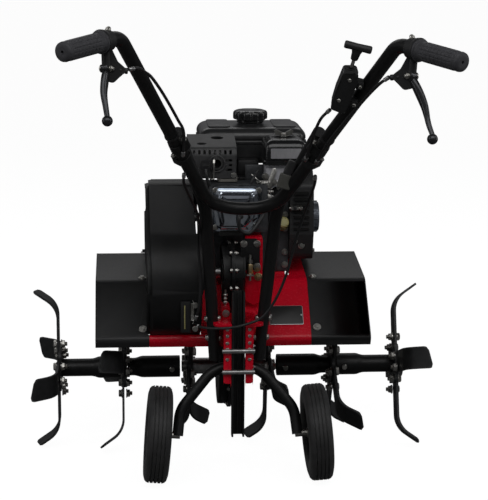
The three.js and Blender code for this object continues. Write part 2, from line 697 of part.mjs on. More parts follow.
/** Curved lever with a ball end. Its hub's axis is square to the plane of the lever and the grip. */
function lever(tip) {
  const waist = LEVER_HUB.map((v, i) => v + 0.36 * (tip[i] - v) + (i === 0 ? 4 : 0));
  const route = bentRoute([LEVER_HUB, waist, tip], 16);
  const ball = solid(new THREE.IcosahedronGeometry(9.3, 1).translate(...tip));
  const turn = new THREE.Quaternion().setFromUnitVectors(new THREE.Vector3(0, 0, 1), LEVER_AXIS);
  const seat = new THREE.Matrix4().compose(new THREE.Vector3(...LEVER_HUB), turn, new THREE.Vector3(1, 1, 1));
  const hub = rod('z', 9, -6, 6, 0, 0, 12).transform(seat.elements);
  return join(hub, tube(route, 6, 7, 8), ball);
}

/** Switch box beside the right arm of the bar. */
function controlBox() {
  const outline = polygon([[-14, -42], [12, -46], [16, -20], [17, 30], [9, 44], [-13, 38], [-15, 0]]);
  const boxBody = slabY(outline, -14, 14).rotate(BOX_TURN).translate(BOX_AT);
  return cut(boxBody, tube(new THREE.LineCurve3(
    new THREE.Vector3(...barPoint(200)), new THREE.Vector3(...barPoint(BAR_LENGTH))), HANDLE_R + 1, 1, 16));
}

/** Pull handle that slides out of the top of the switch box. */
function tHandle() {
  const stem = rod('z', 4, 46, 84, 0, 0, 10);
  const neck = rod('z', 6.5, 66, 84, 0, 0, 10);
  const bar = rod('x', 7, -24, 24, 0, 88, 12);
  return join(stem, neck, bar).rotate(BOX_TURN).translate(BOX_AT);
}

/** Outer sleeve of a control cable through the given points. */
function cable(points, radius = 2.8) {
  const route = new THREE.CatmullRomCurve3(points.map((p) => new THREE.Vector3(...p)), false, 'centripetal');
  return tube(route, radius, Math.round(route.getLength() / 18), 8);
}

// control cables, by hand: those on the bar in the bar's own frame, the rest in the machine's
const BAR_CABLES = {
  clutch_cable_upper: [[-219, -751, 905], [-204, -738, 906], [-192, -720, 898], [-180, -698, 886],
    [-159, -630, 849], [-134, -561, 799], [-122, -530, 771], [-122, -494, 722]],
  reverse_cable_upper: [[219, -751, 903], [206, -735, 890], [192, -698, 866], [168, -632, 819],
    [141, -554, 761], [126, -494, 714]],
  throttle_cable: [[136, -611, 829], [123, -585, 809], [115, -555, 779], [112, -515, 748], [108, -478, 716]],
};
const CHASSIS_CABLES = {
  clutch_cable_lower: [[-116, -478, 705], [-116, -430, 662], [-98, -375, 620], [-85, -330, 588],
    [-80, -294, 548], [-80, -268, 512], [-75, -262, 442], [-77, -252, 378], [-84, -240, 346]],
  reverse_cable_lower: [[131, -478, 698], [136, -432, 662], [131, -378, 616], [123, -334, 571],
    [113, -304, 518], [100, -284, 454], [80, -272, 398], [54, -266, 358], [24, -265, 343],
    [-10, -265, 335], [-46, -263, 333], [-68, -246, 331], [-84, -226, 332]],
};

/** Upper bar with its grips, levers, switch box and cables, set askew in the clamps. */
function buildHandlebar(group) {
  const pose = new THREE.Group();
  pose.position.set(REAR_X, CLAMP_Y, BAR_ROLL_Z);
  pose.rotation.set(0, BAR_ROLL, BAR_YAW);
  const bar = new THREE.Group();
  bar.position.set(0, -CLAMP_Y, -BAR_ROLL_Z);
  place(bar, 'upper_handlebar', upperBar(), BLACK_COAT);
  for (const [name, side] of SIDES) {
    const handed = (shape) => (side < 0 ? mirrorX(shape) : shape);
    place(bar, `grip_${name}`, handed(grip()), RUBBER);
    place(bar, `perch_${name}`, handed(perch()), PLASTIC);
    place(bar, `lever_${name}`, handed(lever(LEVER_TIPS[name])), BLACK_COAT);
  }
  place(bar, 'control_box', controlBox(), PLASTIC);
  place(bar, 't_handle', tHandle(), PLASTIC);
  for (const [name, points] of Object.entries(BAR_CABLES)) place(bar, name, cable(points), RUBBER);
  pose.add(bar);
  group.add(pose);
}

// ---------------------------------------------------------------- wheels and stake

/** Arched tube that carries the transport wheels on two cambered stubs. */
function wheelBracket() {
  const at = (x, y, z) => [REAR_X + x, y, z];
  const half = [at(46, BRACKET_Y, BRACKET_Z - 2), at(120, -222, 146), at(126, WHEEL_Y, WHEEL_Z - 4)];
  const other = half.map(([x, y, z]) => [2 * REAR_X - x, y, z]);
  const arch = tube(bentRoute([...other.reverse(), ...half], [18, 34, 34, 18]), BRACKET_R, 24, 10);
  const stubs = [-1, 1].map((s) => {
    const [from, to] = s < 0 ? [-23, 46] : [-46, 23];
    const stub = rod('x', 7, from, to, 0, 0, 14).rotate([0, -s * THREE.MathUtils.radToDeg(CAMBER), 0]);
    return stub.translate([REAR_X + s * WHEEL_X, WHEEL_Y, WHEEL_Z]);
  });
  return join(arch, ...stubs);
}

/** Solid-tyred wheel with a bore. */
function wheel() {
  const r = WHEEL_R;
  const w = WHEEL_HALF_W;
  return turnedX([
    [7.6, -w + 4], [21, -w + 4], [21, -w + 14], [60, -w + 14], [64, -w + 2], [r - 14, -w], [r - 3, -w + 6],
    [r, -w + 14], [r, w - 14], [r - 3, w - 6], [r - 14, w], [64, w - 2], [60, w - 14], [21, w - 14],
    [21, w - 4], [7.6, w - 4], [7.6, -w + 4],
  ], 0, 0, 28);
}

/** Depth stake with its row of holes. */
function dragStake() {
  const x = REAR_X;
  const h = STAKE_HALF_W;
  const channel = cut(
    box(x - h, x + h, STAKE_BACK_Y, STAKE_FRONT_Y, 93, 404),
    box(x - h + 4, x + h - 4, STAKE_BACK_Y - 2, STAKE_FRONT_Y - 4, 60, 420));
  const holes = [0, 1, 2, 3].map((i) => rod('x', 5, -60, 60, -237, 276 + i * 32, 12));
  return cut(channel, ...holes);
}

// ---------------------------------------------------------------- assembly

const machine = new THREE.Group();

place(machine, 'chain_case_left', caseHalf(-1), BLACK_COAT);
place(machine, 'chain_case_right', caseHalf(1), BLACK_COAT);
place(machine, 'drive_chain', chainLoop(), STEEL);
place(machine, 'input_shaft', inputShaft(), STEEL);
place(machine, 'driven_pulley', pulley(DRIVEN_PULLEY_R, 10 + 0.3, INPUT), ALLOY);
place(machine, 'drive_pulley', pulley(CRANK_PULLEY_R, 10 + 0.3, CRANK), ALLOY);
place(machine, 'crankshaft', join(rod('x', 10, -120, 160, ...CRANK, 20),
  rod('x', 14, -60, 118, ...CRANK, 20)), STEEL);
place(machine, 'drive_belt', beltLoop(), RUBBER);
place(machine, 'idler_arm', idlerArm(), STEEL);
place(machine, 'belt_guard', beltGuard(), BLACK_COAT);
buildRotor(machine);

place(machine, 'engine_base', engineBase(), RED);
place(machine, 'hitch_bracket', hitchBracket(), RED);
place(machine, 'fender_centre', fenderCentre(), RED);
place(machine, 'fender_left', fenderEnd(-1), BLACK_COAT);
place(machine, 'fender_right', fenderEnd(1), BLACK_COAT);
place(machine, 'handle_tube_left', lowerTube(-1), BLACK_COAT);
place(machine, 'handle_tube_right', lowerTube(1), BLACK_COAT);

place(machine, 'crankcase', crankcase(), ALLOY);
place(machine, 'cylinder_head', cylinderHead(), ALLOY);
place(machine, 'rocker_cover', rockerCover(), POLISHED);
place(machine, 'fan_shroud', fanShroud(), PLASTIC);
place(machine, 'recoil_cover', recoilCover(), GUARD_GREY);
place(machine, 'recoil_handle', recoilHandle(), PLASTIC);
place(machine, 'fuel_tank', fuelTank(), BLACK_COAT);
const cap = place(machine, 'fuel_cap', fuelCap(), PLASTIC);
cap.position.set(52, 90, TANK.z1);
place(machine, 'muffler', muffler(), STEEL);
place(machine, 'muffler_guard', mufflerGuard(), GUARD_GREY);
place(machine, 'carburettor', carburettor(), ALLOY);
place(machine, 'air_filter_cover', filterCover(), PLASTIC);

buildHandlebar(machine);

place(machine, 'wheel_bracket', wheelBracket(), BLACK_COAT);
for (const [name, side] of SIDES) {
  const wheelMesh = place(machine, `wheel_${name}`, wheel(), RUBBER);
  wheelMesh.position.set(REAR_X + side * WHEEL_X, WHEEL_Y, WHEEL_Z);
  wheelMesh.rotation.y = -side * CAMBER;
}
place(machine, 'drag_stake', dragStake(), BLACK_COAT);
for (const [name, points] of Object.entries(CHASSIS_CABLES)) place(machine, name, cable(points), RUBBER);

// the row's origin is the middle of the footprint, on the floor
const bounds = new THREE.Box3().setFromObject(machine, true);
const centre = bounds.getCenter(new THREE.Vector3());
machine.position.set(-centre.x, -centre.y, -bounds.min.z);

export default machine;
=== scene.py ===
"""Looks of the petrol tiller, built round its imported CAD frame.

Lengths are millimetres in the machine's own frame, whose zero is under the middle of the tine
axle and close to the floor: X to the operator's right, Y forward, Z up. Each piece is moved to
the row frame, in metres.
"""

import json
from math import acos, atan2, cos, hypot, pi, radians, sin, tan

import bmesh
import bpy
from mathutils import Matrix, Vector


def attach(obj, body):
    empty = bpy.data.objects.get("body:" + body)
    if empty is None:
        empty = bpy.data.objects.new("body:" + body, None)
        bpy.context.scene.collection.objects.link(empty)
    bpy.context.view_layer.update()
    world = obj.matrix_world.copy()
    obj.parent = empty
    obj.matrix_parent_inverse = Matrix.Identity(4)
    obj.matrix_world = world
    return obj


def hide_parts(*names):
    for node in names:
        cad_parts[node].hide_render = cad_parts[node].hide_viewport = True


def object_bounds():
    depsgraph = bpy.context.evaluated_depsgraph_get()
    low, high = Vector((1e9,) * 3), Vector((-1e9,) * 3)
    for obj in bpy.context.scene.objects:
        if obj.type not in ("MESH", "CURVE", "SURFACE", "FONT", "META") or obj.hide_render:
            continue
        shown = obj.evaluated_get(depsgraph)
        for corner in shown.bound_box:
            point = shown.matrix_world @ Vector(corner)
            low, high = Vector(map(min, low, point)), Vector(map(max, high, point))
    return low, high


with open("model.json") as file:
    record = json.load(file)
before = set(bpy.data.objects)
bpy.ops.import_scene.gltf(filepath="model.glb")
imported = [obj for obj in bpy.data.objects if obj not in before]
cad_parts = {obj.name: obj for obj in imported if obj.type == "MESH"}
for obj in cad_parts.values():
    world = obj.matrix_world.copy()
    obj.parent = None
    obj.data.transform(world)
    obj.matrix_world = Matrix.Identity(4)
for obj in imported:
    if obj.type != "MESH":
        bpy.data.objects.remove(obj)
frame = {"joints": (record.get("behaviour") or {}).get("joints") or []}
CAD_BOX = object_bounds()
JOINTS = {joint["name"]: joint for joint in frame["joints"]}

AXLE = (0, 178)  # Y, Z of the tine axle
INPUT = (-105, 416)
CRANK = (30, 510)
REAR_X = 5  # the hitch, handles and wheels sit slightly right of the chain case
MM = 0.001
ORIGIN = Vector(JOINTS["tine_rotor_spin"]["pos_m"]) - Vector((0, *AXLE)) * MM
TO_ROW = Matrix.Translation(ORIGIN) @ Matrix.Scale(MM, 4)
SIDES = (("left", -1), ("right", 1))
TURN = 2 * pi


def move(x, y, z):
    """Matrix of a shift."""
    return Matrix.Translation((x, y, z))


def rotate(axis, degrees):
    """Matrix of a turn about a world axis."""
    return Matrix.Rotation(radians(degrees), 4, axis)


# ------------------------------------------------------------------ outlines and routes


def circle(radius, n=32, u=0.0, v=0.0):
    """Points of a circle round (u, v)."""
    return [(u + radius * cos(i * TURN / n), v + radius * sin(i * TURN / n)) for i in range(n)]


def eased(a, corner, b, n):
    """Curve from a to b, drawn towards the corner between them."""
    steps = [k / n for k in range(n + 1)]
    return [a * (1 - t) ** 2 + corner * 2 * t * (1 - t) + b * t**2 for t in steps]


def fillet(points, radius, n=5):
    """Round a polygon's corners. radius is one number, or one for each corner."""
    out = []
    count = len(points)
    for i, point in enumerate(points):
        r = radius[i] if isinstance(radius, (list, tuple)) else radius
        here, before, after = (Vector(points[j % count]) for j in (i, i - 1, i + 1))
        to_before, to_after = before - here, after - here
        half = to_before.angle(to_after) / 2
        if r <= 0 or abs(half - pi / 2) < 0.01:
            out.append(tuple(point))
            continue
        reach = min(r / tan(half), to_before.length * 0.48, to_after.length * 0.48)
        a = here + to_before.normalized() * reach
        b = here + to_after.normalized() * reach
        out += [(q.x, q.y) for q in eased(a, here, b, n)]
    return out


def rounded(u0, u1, v0, v1, radius, n=6):
    """Rectangle with rounded corners."""
    return fillet([(u0, v0), (u1, v0), (u1, v1), (u0, v1)], radius, n)


def band(c0, r0, c1, r1, n=36):
    """Outline round two circles, as a belt lies round two pulleys."""
    heading = atan2(c1[1] - c0[1], c1[0] - c0[0])
    gape = acos((r0 - r1) / hypot(c1[0] - c0[0], c1[1] - c0[1]))
    points = []
    for (u, v), r, start, sweep_angle in (
        (c0, r0, heading + gape, TURN - 2 * gape),
        (c1, r1, heading - gape, 2 * gape),
    ):
        for i in range(n + 1):
            a = start + i / n * sweep_angle
            points.append((u + r * cos(a), v + r * sin(a)))
    return points


def bent(points, ease, n=9):
    """Straight runs with each corner eased over the given length."""
    at = [Vector(p) for p in points]
    out = [at[0]]
    for i in range(1, len(at) - 1):
        reach = ease[i - 1] if isinstance(ease, (list, tuple)) else ease
        a = at[i] + (at[i - 1] - at[i]).normalized() * reach
        b = at[i] + (at[i + 1] - at[i]).normalized() * reach
        out += eased(a, at[i], b, n)
    out.append(at[-1])
    return out


def spline(points, n=8):
    """Smooth curve through the points."""
    p = [Vector(q) for q in points]
    p = [2 * p[0] - p[1], *p, 2 * p[-1] - p[-2]]
    out = []
    for i in range(1, len(p) - 2):
        for k in range(n):
            t = k / n
            out.append(0.5 * (2 * p[i] + (p[i + 1] - p[i - 1]) * t
                              + (2 * p[i - 1] - 5 * p[i] + 4 * p[i + 1] - p[i + 2]) * t**2
                              + (3 * p[i] - p[i - 1] - 3 * p[i + 1] + p[i + 2]) * t**3))
    out.append(p[-2])
    return out


def smoothstep(t):
    """Ease from 0 to 1."""
    t = min(max(t, 0), 1)
    return t * t * (3 - 2 * t)


# ------------------------------------------------------------------ solids


def skin(rings, closed_ends=True, loop=True):
    """Surface through rings of points; a ring of one point is a pole."""
    bm = bmesh.new()
    made = [[bm.verts.new(p) for p in ring] for ring in rings]
    for low, high in zip(made, made[1:]):
        n = max(len(low), len(high))
        for i in range(n if loop else n - 1):
            corners = [low[i % len(low)], low[(i + 1) % len(low)],
                       high[(i + 1) % len(high)], high[i % len(high)]]
            unique = list(dict.fromkeys(corners))
            if len(unique) > 2:
                bm.faces.new(unique)
    if closed_ends:
        for ring in (made[0], made[-1]):
            if len(ring) > 2:
                bm.faces.new(ring)
    bmesh.ops.recalc_face_normals(bm, faces=bm.faces)
    return bm


def lathe(profile, n=40):
    """Turn [radius, z] points about Z. A profile that ends away from the axis is left open."""
    rings = []
    for r, z in profile:
        rings.append([(0, 0, z)] if r < 1e-6 else [(x, y, z) for x, y in circle(r, n)])
    return skin(rings, closed_ends=False)


def sweep(path, section, scale=None, up=None):
    """Carry a closed 2-D section along a path, with no twist."""
    path = [Vector(p) for p in path]
    tangents = []
    for i in range(len(path)):
        a, b = path[max(i - 1, 0)], path[min(i + 1, len(path) - 1)]
        tangents.append((b - a).normalized())
    side = (Vector(up) if up else tangents[0].orthogonal()).cross(tangents[0]).normalized()
    rings = []
    for i, point in enumerate(path):
        if i:
            side = tangents[i - 1].rotation_difference(tangents[i]) @ side
        over = tangents[i].cross(side)
        su, sv = scale(i / (len(path) - 1)) if scale else (1, 1)
        rings.append([point + side * u * su + over * v * sv for u, v in section])
    return skin(rings)


def tube(path, radius, n=20):
    """Round bar along a path."""
    return sweep(path, circle(radius, n))


def slab(outline, a, b, holes=()):
    """Plate between z = a and z = b with this outline and these holes."""
    bm = bmesh.new()
    loops = [outline, *holes]
    edges = []
    for ring in loops:
        verts = [bm.verts.new((x, y, 0)) for x, y in ring]
        edges += [bm.edges.new((p, q)) for p, q in zip(verts, verts[1:] + verts[:1])]
    if holes:
        bmesh.ops.triangle_fill(bm, use_beauty=True, edges=edges)
    else:
        bm.faces.new(bm.verts[:])
    bm.verts.index_update()
    flat = [[v.index for v in f.verts] for f in bm.faces]
    points = [tuple(v.co.xy) for v in bm.verts]
    bm.free()
    bm = bmesh.new()
    low, high = ([bm.verts.new((x, y, z)) for x, y in points] for z in (a, b))
    for face in flat:
        bm.faces.new([low[i] for i in face])
        bm.faces.new([high[i] for i in reversed(face)])
    start = 0
    for ring in loops:
        n = len(ring)
        for i in range(n):
            p, q = start + i, start + (i + 1) % n
            bm.faces.new((low[p], low[q], high[q], high[p]))
        start += n
    bmesh.ops.recalc_face_normals(bm, faces=bm.faces)
    return bm


def slab_x(outline, a, b, holes=()):
    """Plate between x = a and x = b, from an outline in Y and Z."""
    bm = slab(outline, a, b, holes)
    bm.transform(Matrix(((0, 0, 1, 0), (1, 0, 0, 0), (0, 1, 0, 0), (0, 0, 0, 1))))
    return bm


def slab_y(outline, a, b, holes=()):
    """Plate between y = a and y = b, from an outline in X and Z."""
    bm = slab(outline, -b, -a, holes)
    bm.transform(rotate("X", 90))
    return bm


def block(x0, x1, y0, y1, z0, z1):
    """Plain box between these limits."""
    return slab([(x0, y0), (x1, y0), (x1, y1), (x0, y1)], z0, z1)


def plug(radius, height, n=24, chamfer=0):
    """Short solid cylinder, or a hexagon when n is 6."""
    edge = [(radius - chamfer, height), (radius, height - chamfer)] if chamfer else [(radius, height)]
    return lathe([(0, height), *edge, (radius, 0), (0, 0)], n)


def pipe(inner, outer, length, n=28):
    """Short open pipe."""
    return lathe([(inner, length), (outer, length), (outer, 0), (inner, 0), (inner, length)], n)


def rings_of(outline, levels):
    """Solid through one outline drawn again at each level: outline(inset) at height z."""
    return skin([[(x, y, z) for x, y in outline(inset)] for inset, z in levels])


def aim(at, direction, spin=0.0):
    """Place something built on +Z at a point, facing a direction."""
    turn = Vector((0, 0, 1)).rotation_difference(Vector(direction))
    return Matrix.Translation(Vector(at)) @ turn.to_matrix().to_4x4() @ Matrix.Rotation(spin, 4, "Z")


WELD = 0.002  # corners closer than this are one, in mm


class Form:
    """A mesh made of several solids, each with its own material index."""

    def __init__(self, matrix=None):
        self.bm = bmesh.new()
        self.matrix = matrix

    def add(self, part, matrix=None, bevel=0.0, steps=2, look=0, least=28):
        """Take in a solid, its edges bevelled where they fold by more than the least angle."""
        if bevel:
            edges = [e for e in part.edges
                     if len(e.link_faces) == 2 and e.calc_face_angle(0) > radians(least)]
            bmesh.ops.bevel(part, geom=edges, offset=bevel, segments=steps, profile=0.5,
                            affect="EDGES", clamp_overlap=True)
        if matrix is not None:
            part.transform(matrix)
        for face in part.faces:
            face.material_index = look
        mesh = bpy.data.meshes.new("part")
        part.to_mesh(mesh)
        part.free()
        self.bm.from_mesh(mesh)
        bpy.data.meshes.remove(mesh)
        return self

    def bolt(self, at, direction, across=13, head=6, washer=11, stud=0, look=0, spin=0.3):
        """Hex head on a washer, or a nut with the stud standing out of it."""
        matrix = aim(at, direction, spin)
        r = across * 0.577
        if washer:
            self.add(lathe([(0, 1.8), (washer - 0.6, 1.8), (washer, 1.2), (washer, -1), (0, -1)], 24),
                     matrix, look=look)
        self.add(lathe([(0, head), (r * 0.78, head), (r, head - 1.3), (r, 0), (0, 0)], 6), matrix,
                 look=look)
        if stud:
            thread = [(0, head + stud)]
            for i in range(int(stud)):
                z = head + stud - i - 0.3
                thread += [(across * 0.27, z), (across * 0.31, z - 0.5)]
            thread += [(across * 0.3, head - 1), (0, head - 1)]
            self.add(lathe(thread, 16), matrix, look=look)
        return self

    def ball(self, at, radius, look=0):
        """Take in a sphere."""
        bm = bmesh.new()
        bmesh.ops.create_uvsphere(bm, u_segments=24, v_segments=16, radius=radius)
        return self.add(bm, Matrix.Translation(Vector(at)), look=look)


def shade(bm, smooth, odd_edges=True):
    """Smooth faces, with sharp edges where the fold is more than this many degrees.

    odd_edges says whether an edge without exactly two faces is smooth.
    """
    for face in bm.faces:
        face.smooth = True
    for edge in bm.edges:
        if len(edge.link_faces) == 2:
            edge.smooth = edge.calc_face_angle(0) < radians(smooth)
        else:
            edge.smooth = odd_edges


def piece(name, form, looks, body, replaces=(), smooth=34, cuts=None):
    """Turn a form into a shown piece that rides on a CAD body and may stand for CAD nodes."""
    bm = form.bm
    if form.matrix is not None:
        bm.transform(form.matrix)
    bmesh.ops.remove_doubles(bm, verts=bm.verts, dist=WELD)
    bm.transform(TO_ROW)
    shade(bm, smooth)
    mesh = bpy.data.meshes.new(name)
    bm.to_mesh(mesh)
    bm.free()
    obj = bpy.data.objects.new(name, mesh)
    bpy.context.scene.collection.objects.link(obj)
    for look in looks if isinstance(looks, (list, tuple)) else [looks]:
        mesh.materials.append(LOOKS[look])
    if cuts is not None:
        carve(obj, cuts, smooth)
    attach(obj, body)
    if replaces:
        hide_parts(*replaces)
    return obj


def carve(obj, cutter_form, smooth):
    """Take the cutter's volume away from the object's mesh."""
    bm = cutter_form.bm
    bm.transform(TO_ROW)
    mesh = bpy.data.meshes.new("cutter")
    bm.to_mesh(mesh)
    bm.free()
    cutter = bpy.data.objects.new("cutter", mesh)
    bpy.context.scene.collection.objects.link(cutter)
    modifier = obj.modifiers.new("cut", "BOOLEAN")
    modifier.operation = "DIFFERENCE"
    modifier.solver = "EXACT"
    modifier.use_self = True
    modifier.object = cutter
    bpy.context.view_layer.update()
    result = bpy.data.meshes.new_from_object(obj.evaluated_get(bpy.context.evaluated_depsgraph_get()))
    obj.modifiers.clear()
    old = obj.data
    obj.data = result
    bpy.data.meshes.remove(old)
    bpy.data.objects.remove(cutter)
    bm = bmesh.new()
    bm.from_mesh(result)
    shade(bm, smooth, odd_edges=False)
    bm.to_mesh(result)
    bm.free()


# ------------------------------------------------------------------ materials

LOOKS = {}
WORN_EDGE = (0.16, 0.16, 0.165, 1)
BUMP_DEPTH = 0.0004  # metres


def look(name, slot, color, rough, metal=0.0, grain=0.0, grain_size=1.2, mottle=0.12, blotch=60.0,
         rough_spread=0.08, coat=0.0, specular=0.5, wear=0.0, stretch=None, sheen=0.0):
    """Procedural finish: colour mottling, roughness breakup, fine bump and light wear on edges."""
    material = bpy.data.materials.new(name)
    material.use_nodes = True
    nodes, links = material.node_tree.nodes, material.node_tree.links
    shader = nodes["Principled BSDF"]
    shader.inputs["Metallic"].default_value = metal
    shader.inputs["Specular IOR Level"].default_value = specular
    shader.inputs["Coat Weight"].default_value = coat
    shader.inputs["Coat Roughness"].default_value = 0.08
    shader.inputs["Sheen Weight"].default_value = sheen
    place = nodes.new("ShaderNodeTexCoord")
    mapping = nodes.new("ShaderNodeMapping")
    if stretch:
        mapping.inputs["Scale"].default_value = stretch
    links.new(place.outputs["Object"], mapping.inputs["Vector"])

    def noise(scale, detail):
        node = nodes.new("ShaderNodeTexNoise")
        node.inputs["Scale"].default_value = scale
        node.inputs["Detail"].default_value = detail
        node.inputs["Roughness"].default_value = 0.55
        links.new(mapping.outputs["Vector"], node.inputs["Vector"])
        return node.outputs["Fac"]

    patches = noise(blotch, 4)
    ramp = nodes.new("ShaderNodeValToRGB")
    dark = [c * (1 - mottle) for c in color]
    light = [min(c * (1 + mottle) + mottle * 0.004, 1) for c in color]
    ramp.color_ramp.elements[0].position = 0.35
    ramp.color_ramp.elements[1].position = 0.68
    ramp.color_ramp.elements[0].color = (*dark, 1)
    ramp.color_ramp.elements[1].color = (*light, 1)
    links.new(patches, ramp.inputs["Fac"])
    base = ramp.outputs["Color"]
    if wear:
        geometry = nodes.new("ShaderNodeNewGeometry")
        edge = nodes.new("ShaderNodeMapRange")
        edge.inputs["From Min"].default_value = 0.53
        edge.inputs["From Max"].default_value = 0.62
        edge.inputs["To Max"].default_value = wear
        links.new(geometry.outputs["Pointiness"], edge.inputs["Value"])
        mix = nodes.new("ShaderNodeMix")
        mix.data_type = "RGBA"
        links.new(edge.outputs["Result"], mix.inputs["Factor"])
        links.new(base, mix.inputs["A"])
        mix.inputs["B"].default_value = WORN_EDGE
        base = mix.outputs["Result"]
    links.new(base, shader.inputs["Base Color"])
    spread = nodes.new("ShaderNodeMapRange")
    spread.inputs["To Min"].default_value = max(rough - rough_spread, 0.02)
    spread.inputs["To Max"].default_value = min(rough + rough_spread, 1)
    links.new(noise(blotch * 4, 5), spread.inputs["Value"])
    links.new(spread.outputs["Result"], shader.inputs["Roughness"])
    if grain:
        bump = nodes.new("ShaderNodeBump")
        bump.inputs["Strength"].default_value = grain
        bump.inputs["Distance"].default_value = BUMP_DEPTH
        links.new(noise(1000 / grain_size, 3), bump.inputs["Height"])
        links.new(bump.outputs["Normal"], shader.inputs["Normal"])
    LOOKS[name] = material


look("black_coat", "black_coat", (0.0085, 0.0087, 0.009), 0.4, grain=0.25, grain_size=1.6, mottle=0.1,
     specular=0.34, wear=0.12)
look("tine_black", "tine_steel", (0.02, 0.021, 0.022), 0.46, metal=0.15, grain=0.35, grain_size=2.2,
     mottle=0.2, wear=0.25)
look("red_gloss", "red_paint", (0.68, 0.0025, 0.02), 0.26, grain=0.03, grain_size=2.5, mottle=0.05,
     coat=0.15, specular=0.3)
look("zinc", "steel", (0.5, 0.49, 0.46), 0.32, metal=1.0, grain=0.15, grain_size=0.8, mottle=0.15,
     blotch=180, rough_spread=0.12)
look("bare_steel", "steel", (0.42, 0.42, 0.42), 0.38, metal=1.0, grain=0.2, mottle=0.2, blotch=120)
look("brass", "steel", (0.62, 0.47, 0.26), 0.32, metal=1.0, grain=0.1, mottle=0.15, blotch=150)
look("cast_alloy", "alloy", (0.34, 0.35, 0.37), 0.5, metal=0.85, grain=0.8, grain_size=1.6, mottle=0.2)
look("dark_alloy", "alloy", (0.07, 0.073, 0.078), 0.5, metal=0.5, grain=0.7, grain_size=1.8, mottle=0.25)
look("polished", "polished_alloy", (0.58, 0.63, 0.7), 0.13, metal=1.0, grain=0.05, grain_size=4,
     mottle=0.08, rough_spread=0.05)
look("matt_plastic", "black_plastic", (0.017, 0.0172, 0.018), 0.5, grain=0.45, grain_size=0.9, mottle=0.1)
look("gloss_plastic", "gloss_black", (0.012, 0.0122, 0.013), 0.2, grain=0.05, grain_size=3, mottle=0.08,
     coat=0.3)
look("tank_black", "gloss_black", (0.022, 0.0222, 0.023), 0.3, grain=0.12, grain_size=2.2, mottle=0.1,
     coat=0.2)
look("guard_grey", "guard_grey", (0.045, 0.045, 0.046), 0.5, metal=0.2, grain=0.4, grain_size=1.5,
     mottle=0.2)
look("grip_rubber", "grip_rubber", (0.045, 0.045, 0.051), 0.62, grain=0.5, grain_size=1.0, mottle=0.15,
     sheen=0.1)
look("tyre_rubber", "tyre_rubber", (0.024, 0.024, 0.0245), 0.55, grain=0.5, grain_size=1.2, mottle=0.25,
     sheen=0.1)
look("cable_rubber", "belt_rubber", (0.016, 0.016, 0.017), 0.45, grain=0.2, mottle=0.1)
look("belt_rubber", "belt_rubber", (0.03, 0.03, 0.03), 0.8, grain=0.6, mottle=0.2)
look("phenolic", "black_plastic", (0.19, 0.18, 0.16), 0.6, grain=0.4, mottle=0.12)
look("grey_plastic", "black_plastic", (0.5, 0.5, 0.53), 0.45, grain=0.3, mottle=0.06)
look("olive_plastic", "black_plastic", (0.36, 0.33, 0.13), 0.45, grain=0.3, mottle=0.1)
look("silver_label", "steel", (0.62, 0.62, 0.64), 0.35, metal=0.7, grain=0.1, mottle=0.06,
     stretch=(6, 6, 1))
look("plate_black", "black_plastic", (0.012, 0.012, 0.012), 0.4, grain=0.1, mottle=0.1)
look("shadow_black", "black_plastic", (0.003, 0.003, 0.003), 0.9, mottle=0.3)

# ------------------------------------------------------------------ camera, floor and light

CAMERA_AT = Vector((-223.09, -3413.88, 1168.69))
YAW, ELEVATION, ROLL = radians(4.3), radians(12), radians(0.4)
FOCAL_PX = 1590
IMAGE_HEIGHT_PX = 500
FLOOR_GAP = 0.0005  # metres


def add_camera():
    """Camera behind the machine, a little to its left and looking down."""
    forward = Vector((sin(YAW) * cos(ELEVATION), cos(YAW) * cos(ELEVATION), -sin(ELEVATION)))
    right = Vector((cos(YAW), -sin(YAW), 0))
    up = right.cross(forward)
    rolled_right = right * cos(ROLL) + up * sin(ROLL)
    rolled_up = up * cos(ROLL) - right * sin(ROLL)
    data = bpy.data.cameras.new("camera")
    data.sensor_width = 36
    data.lens = FOCAL_PX / IMAGE_HEIGHT_PX * data.sensor_width
    data.clip_end = 50
    camera = bpy.data.objects.new("camera", data)
    camera.matrix_world = Matrix((
        (rolled_right.x, rolled_up.x, -forward.x, 0), (rolled_right.y, rolled_up.y, -forward.y, 0),
        (rolled_right.z, rolled_up.z, -forward.z, 0), (0, 0, 0, 1)))
    camera.matrix_world.translation = ORIGIN + CAMERA_AT * MM
    bpy.context.scene.collection.objects.link(camera)
    bpy.context.scene.camera = camera


def add_light(name, at, target, size, size_y, power):
    """Rectangular lamp turned towards its target, in metres and watts."""
    data = bpy.data.lights.new(name, "AREA")
    data.shape = "RECTANGLE"
    data.size, data.size_y, data.energy = size, size_y, power
    lamp = bpy.data.objects.new(name, data)
    lamp.location = at
    lamp.rotation_euler = (Vector(target) - Vector(at)).to_track_quat("-Z", "Y").to_euler()
    bpy.context.scene.collection.objects.link(lamp)


